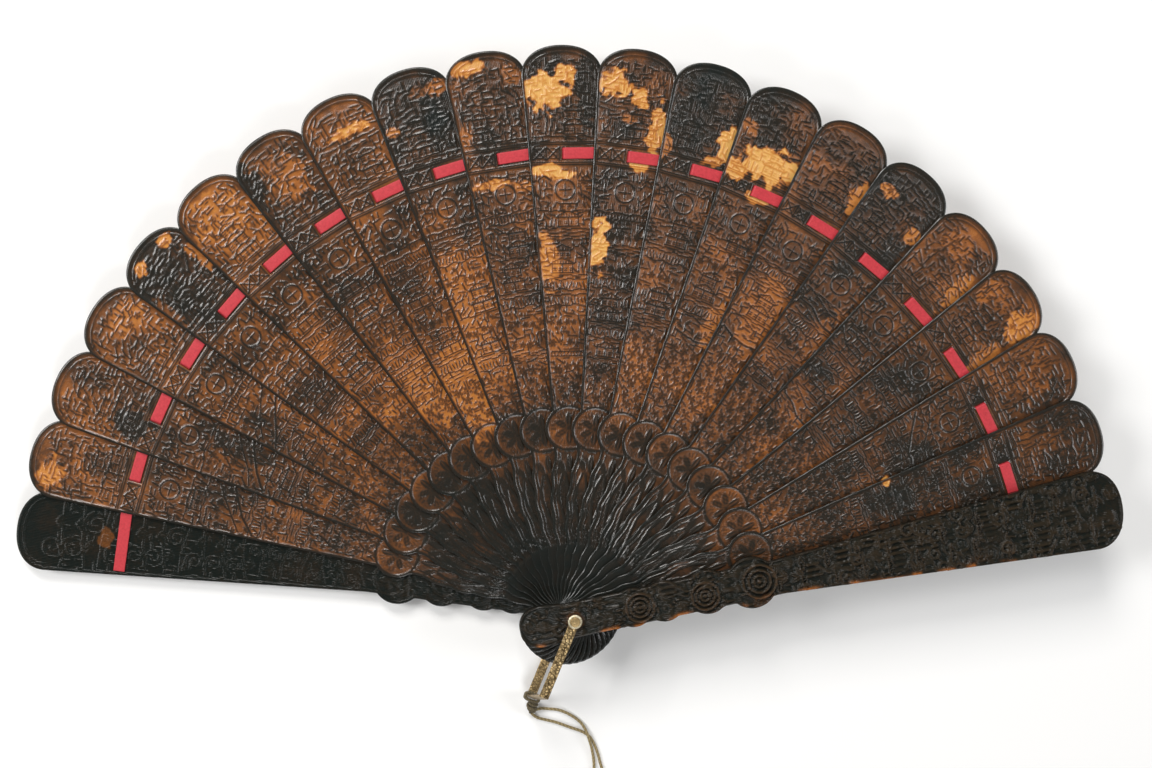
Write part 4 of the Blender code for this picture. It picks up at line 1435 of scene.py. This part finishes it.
def ribbonMaterial():
    material, tree, shader = newMaterial("redSilkRibbon")
    place = attributeNode(tree, "weavePlace", "Vector")
    ribs = bandsNode(tree, place, "X", 0.314 / ribbonSettings["ribPitch"], 0.6)
    warps = bandsNode(tree, place, "Y", 1.6, 0.8)
    slub = textureNode(tree, "Noise", place, Scale=1.4, Detail=4.0)
    weave = mathNode(tree, "MULTIPLY_ADD", ribs, 0.6, mathNode(tree, "MULTIPLY", warps, 0.4))
    tone = mathNode(tree, "MULTIPLY_ADD", slub, 0.9, mathNode(tree, "MULTIPLY_ADD", weave, 0.5, -0.2))
    colour = rampNode(tree, tone, ribbonSettings["colours"])
    finishShader(tree, shader, colour, weave, 0.5, 0.00006, {"Roughness": 0.55, "Sheen Weight": 0.08})
    return material


redRibbon = ribbonMaterial()


def makeRibbon(number):
    r, b = ribbonSettings, bladeSettings
    name = bladeName(number)
    low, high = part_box(name)
    thickness = (high.z - low.z) / mm
    half = r["thickness"] / 2
    above = thickness + r["lift"] + half
    below = -r["lift"] - half
    right = wedgeHalf(b["ribbonPlace"]) - 0.3
    left = b["ribbonPlace"] * math.tan(math.radians(b["stepDegrees"] / 2))
    if number == 0:
        start = r["endMargin"] - wedgeHalf(b["ribbonPlace"])
        profile = [(start, 0, above), ((start + right) / 2, 0, above), (right, 0, above)]
    elif number == lastBlade:
        profile = [(-left, 0, below), (-left / 2, 0, below), (0, 0, below)]
    else:
        profile = [(-left, 0, below), (-left / 2, 0, below), (-0.6, 0, below), (-0.25, 0, below),
                   (-0.06, 0, below + 0.10), (0.0, 0, (below + above) / 2), (0.06, 0, above - 0.10),
                   (0.25, 0, above), (0.6, 0, above), (right / 2, 0, above), (right, 0, above)]
    line = smoothLine(profile, 0.12)
    line[:, 2] = np.clip(line[:, 2], below, above)
    travelled = distanceAlong(line)
    piece, row, column = gridMesh(f"ribbonStretch_{number:02d}", r["acrossSteps"], r["alongSteps"])
    along = column / r["alongSteps"] * travelled[-1]
    across = row / r["acrossSteps"] * 2 - 1
    x = np.interp(along, travelled, line[:, 0])
    z = np.interp(along, travelled, line[:, 2])
    onTop = np.clip((x - 0.6) / 1.5, 0, 1) * (number not in (0, lastBlade)) + 0.3 * (number == 0)
    onTop = onTop * np.clip((right - x) / 0.8, 0, 1)
    ripple = patches(700 + number, x * 1.6, across * 2.0, 2.2) * 0.03
    z = z + onTop * (r["crown"] * (1 - across ** 2) + ripple)
    y = b["ribbonPlace"] + across * (r["width"] / 2 - 0.03 * patches(730 + number, x, across, 1.0))
    setPlaces(piece, np.column_stack([x, y, z]) * mm)
    storeVectors(piece, "weavePlace", np.column_stack([along, across * r["width"] / 2,
                                                       np.full_like(x, 3.0 * number)]))
    selectOnly(piece)
    solid = piece.modifiers.new("cloth", "SOLIDIFY")
    solid.thickness = r["thickness"] * mm
    solid.offset = 0
    bpy.ops.object.modifier_apply(modifier=solid.name)
    bpy.ops.object.shade_smooth()
    turnToPlace(piece, number, low.z)
    piece.data.materials.append(redRibbon)
    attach(piece, name)
    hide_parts(f"ribbon_{number:02d}")


for ribbonNumber in range(lastBlade + 1):
    makeRibbon(ribbonNumber)
print("ribbon threaded")


# ---- the gilt brass bail and the rivet

brassSettings = {
    "gold": (0.56, 0.40, 0.19),
    "tarnish": (0.075, 0.048, 0.020),
    "paleGold": (0.86, 0.77, 0.55),
    "roughness": 0.34,
    "edgeBevel": 0.10,
    "beadRing": (1.85, 0.42),   # radius and thickness of the raised ring round the rivet
}


def brassMaterial(name, engraved, bright="gold"):
    material, tree, shader = newMaterial(name)
    place = addNode(tree, "ShaderNodeTexCoord").outputs["Object"]
    patina = textureNode(tree, "Noise", place, Scale=420.0, Detail=5.0, Roughness=0.7)
    wear = textureNode(tree, "Noise", place, Scale=2600.0, Detail=3.0)
    age = mathNode(tree, "MULTIPLY_ADD", patina, 1.5, -0.2, clamp=True)
    height = wear
    if engraved:
        scrolls = textureNode(tree, "Voronoi", place, feature="DISTANCE_TO_EDGE", Scale=950.0)
        beads = textureNode(tree, "Voronoi", place, Scale=1500.0)
        cut = mathNode(tree, "MULTIPLY", scrolls, 5.5, clamp=True)
        dots = mathNode(tree, "MULTIPLY_ADD", beads, -1.5, 1.35, clamp=True)
        cut = mathNode(tree, "MULTIPLY", cut, mathNode(tree, "MULTIPLY_ADD", dots, 0.6, 0.4))
        age = mathNode(tree, "MULTIPLY", age, mathNode(tree, "MULTIPLY_ADD", cut, 1.0, 0.12), clamp=True)
        height = mathNode(tree, "MULTIPLY_ADD", wear, 0.25, cut)
    colour = rampNode(tree, age, ((0.05, brassSettings["tarnish"]), (0.62, brassSettings[bright]),
                                  (1.0, brassSettings["paleGold"])))
    rough = mathNode(tree, "MULTIPLY_ADD", patina, 0.25, brassSettings["roughness"] - 0.1)
    tree.links.new(rough, shader.inputs["Roughness"])
    finishShader(tree, shader, colour, height, 0.8, 0.0002, {"Metallic": 0.75})
    return material


def copyNode(name, newName):
    piece = frame["nodes"][name].copy()
    piece.data = frame["nodes"][name].data.copy()
    piece.name = newName
    piece.parent = None
    for key in list(piece.keys()):
        del piece[key]
    bpy.context.scene.collection.objects.link(piece)
    piece.matrix_world = Matrix.Identity(4)
    selectOnly(piece)
    bpy.ops.object.mode_set(mode="EDIT")
    bpy.ops.mesh.select_mode(type="VERT")
    bpy.ops.mesh.select_all(action="SELECT")
    bpy.ops.mesh.remove_doubles(threshold=0.00001)
    bpy.ops.mesh.dissolve_limited(angle_limit=math.radians(3))
    bpy.ops.object.mode_set(mode="OBJECT")
    piece.data.materials.clear()
    return piece


def bevelPiece(piece, width, segments):
    bevel = piece.modifiers.new("roundedEdges", "BEVEL")
    bevel.width = width * mm
    bevel.segments = segments
    bevel.limit_method = "ANGLE"
    bevel.angle_limit = math.radians(40)
    bevel.use_clamp_overlap = True
    bpy.ops.object.modifier_apply(modifier=bevel.name)
    bpy.ops.object.shade_smooth_by_angle(angle=math.radians(38))


def makeBail():
    bail = copyNode("bail", "engravedBail")
    bevelPiece(bail, brassSettings["edgeBevel"], 2)
    low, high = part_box("bail")
    ringRadius, ringThick = brassSettings["beadRing"]
    deselectAll()
    bpy.ops.mesh.primitive_torus_add(location=(0, 0, high.z - 0.02 * mm), major_radius=ringRadius * mm,
                                     minor_radius=ringThick * mm, major_segments=48, minor_segments=12)
    ring = bpy.context.object
    ring.name = "bailRing"
    ring.data.transform(ring.matrix_world)
    ring.matrix_world = Matrix.Identity(4)
    bpy.ops.object.shade_smooth()
    bail.data.materials.append(brassMaterial("engravedGiltBrass", True))
    # painted highlight: the raised ring round the rivet is coloured pale gold to stand for the bright ring of
    # light on the bail's eye
    ring.data.materials.append(brassMaterial("paleGiltRingPaintedHighlight", False, "paleGold"))
    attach(bail, "bail")
    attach(ring, "bail")
    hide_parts("bail")


rivetSettings = {
    "rearHead": ((0.0, 0.02), (1.6, 0.02), (2.2, 0.10), (2.38, 0.28), (2.38, 0.45), (2.25, 0.58),
                 (1.15, 0.6)),  # radius, height
    "frontHead": ((1.15, 0.40), (1.50, 0.40), (1.56, 0.30), (1.50, 0.14), (1.15, 0.02), (0.75, 0.06),
                  (0.45, 0.02), (0.0, 0.0)),  # radius, depth below the top
}


def makeRivet():
    r = rivetSettings
    low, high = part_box("rivet")
    top = high.z / mm
    profile = [*r["rearHead"], *((radius, top - below) for radius, below in r["frontHead"])]
    mesh = bpy.data.meshes.new("turnedRivet")
    mesh.from_pydata([(radius * mm, 0, height * mm) for radius, height in profile],
                     [(index, index + 1) for index in range(len(profile) - 1)], [])
    rivet = newObject("turnedRivet", mesh)
    editAll(rivet)
    bpy.ops.mesh.spin(steps=48, angle=2 * math.pi, center=(0, 0, 0), axis=(0, 0, 1))
    bpy.ops.mesh.select_all(action="SELECT")
    bpy.ops.mesh.remove_doubles(threshold=0.000001)
    bpy.ops.mesh.normals_make_consistent(inside=False)
    bpy.ops.object.mode_set(mode="OBJECT")
    bpy.ops.object.shade_smooth_by_angle(angle=math.radians(50))
    rivet.data.materials.append(brassMaterial("rivetBrass", False))
    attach(rivet, "rear_guard")
    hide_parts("rivet")


makeBail()
makeRivet()
print("bail and rivet finished")
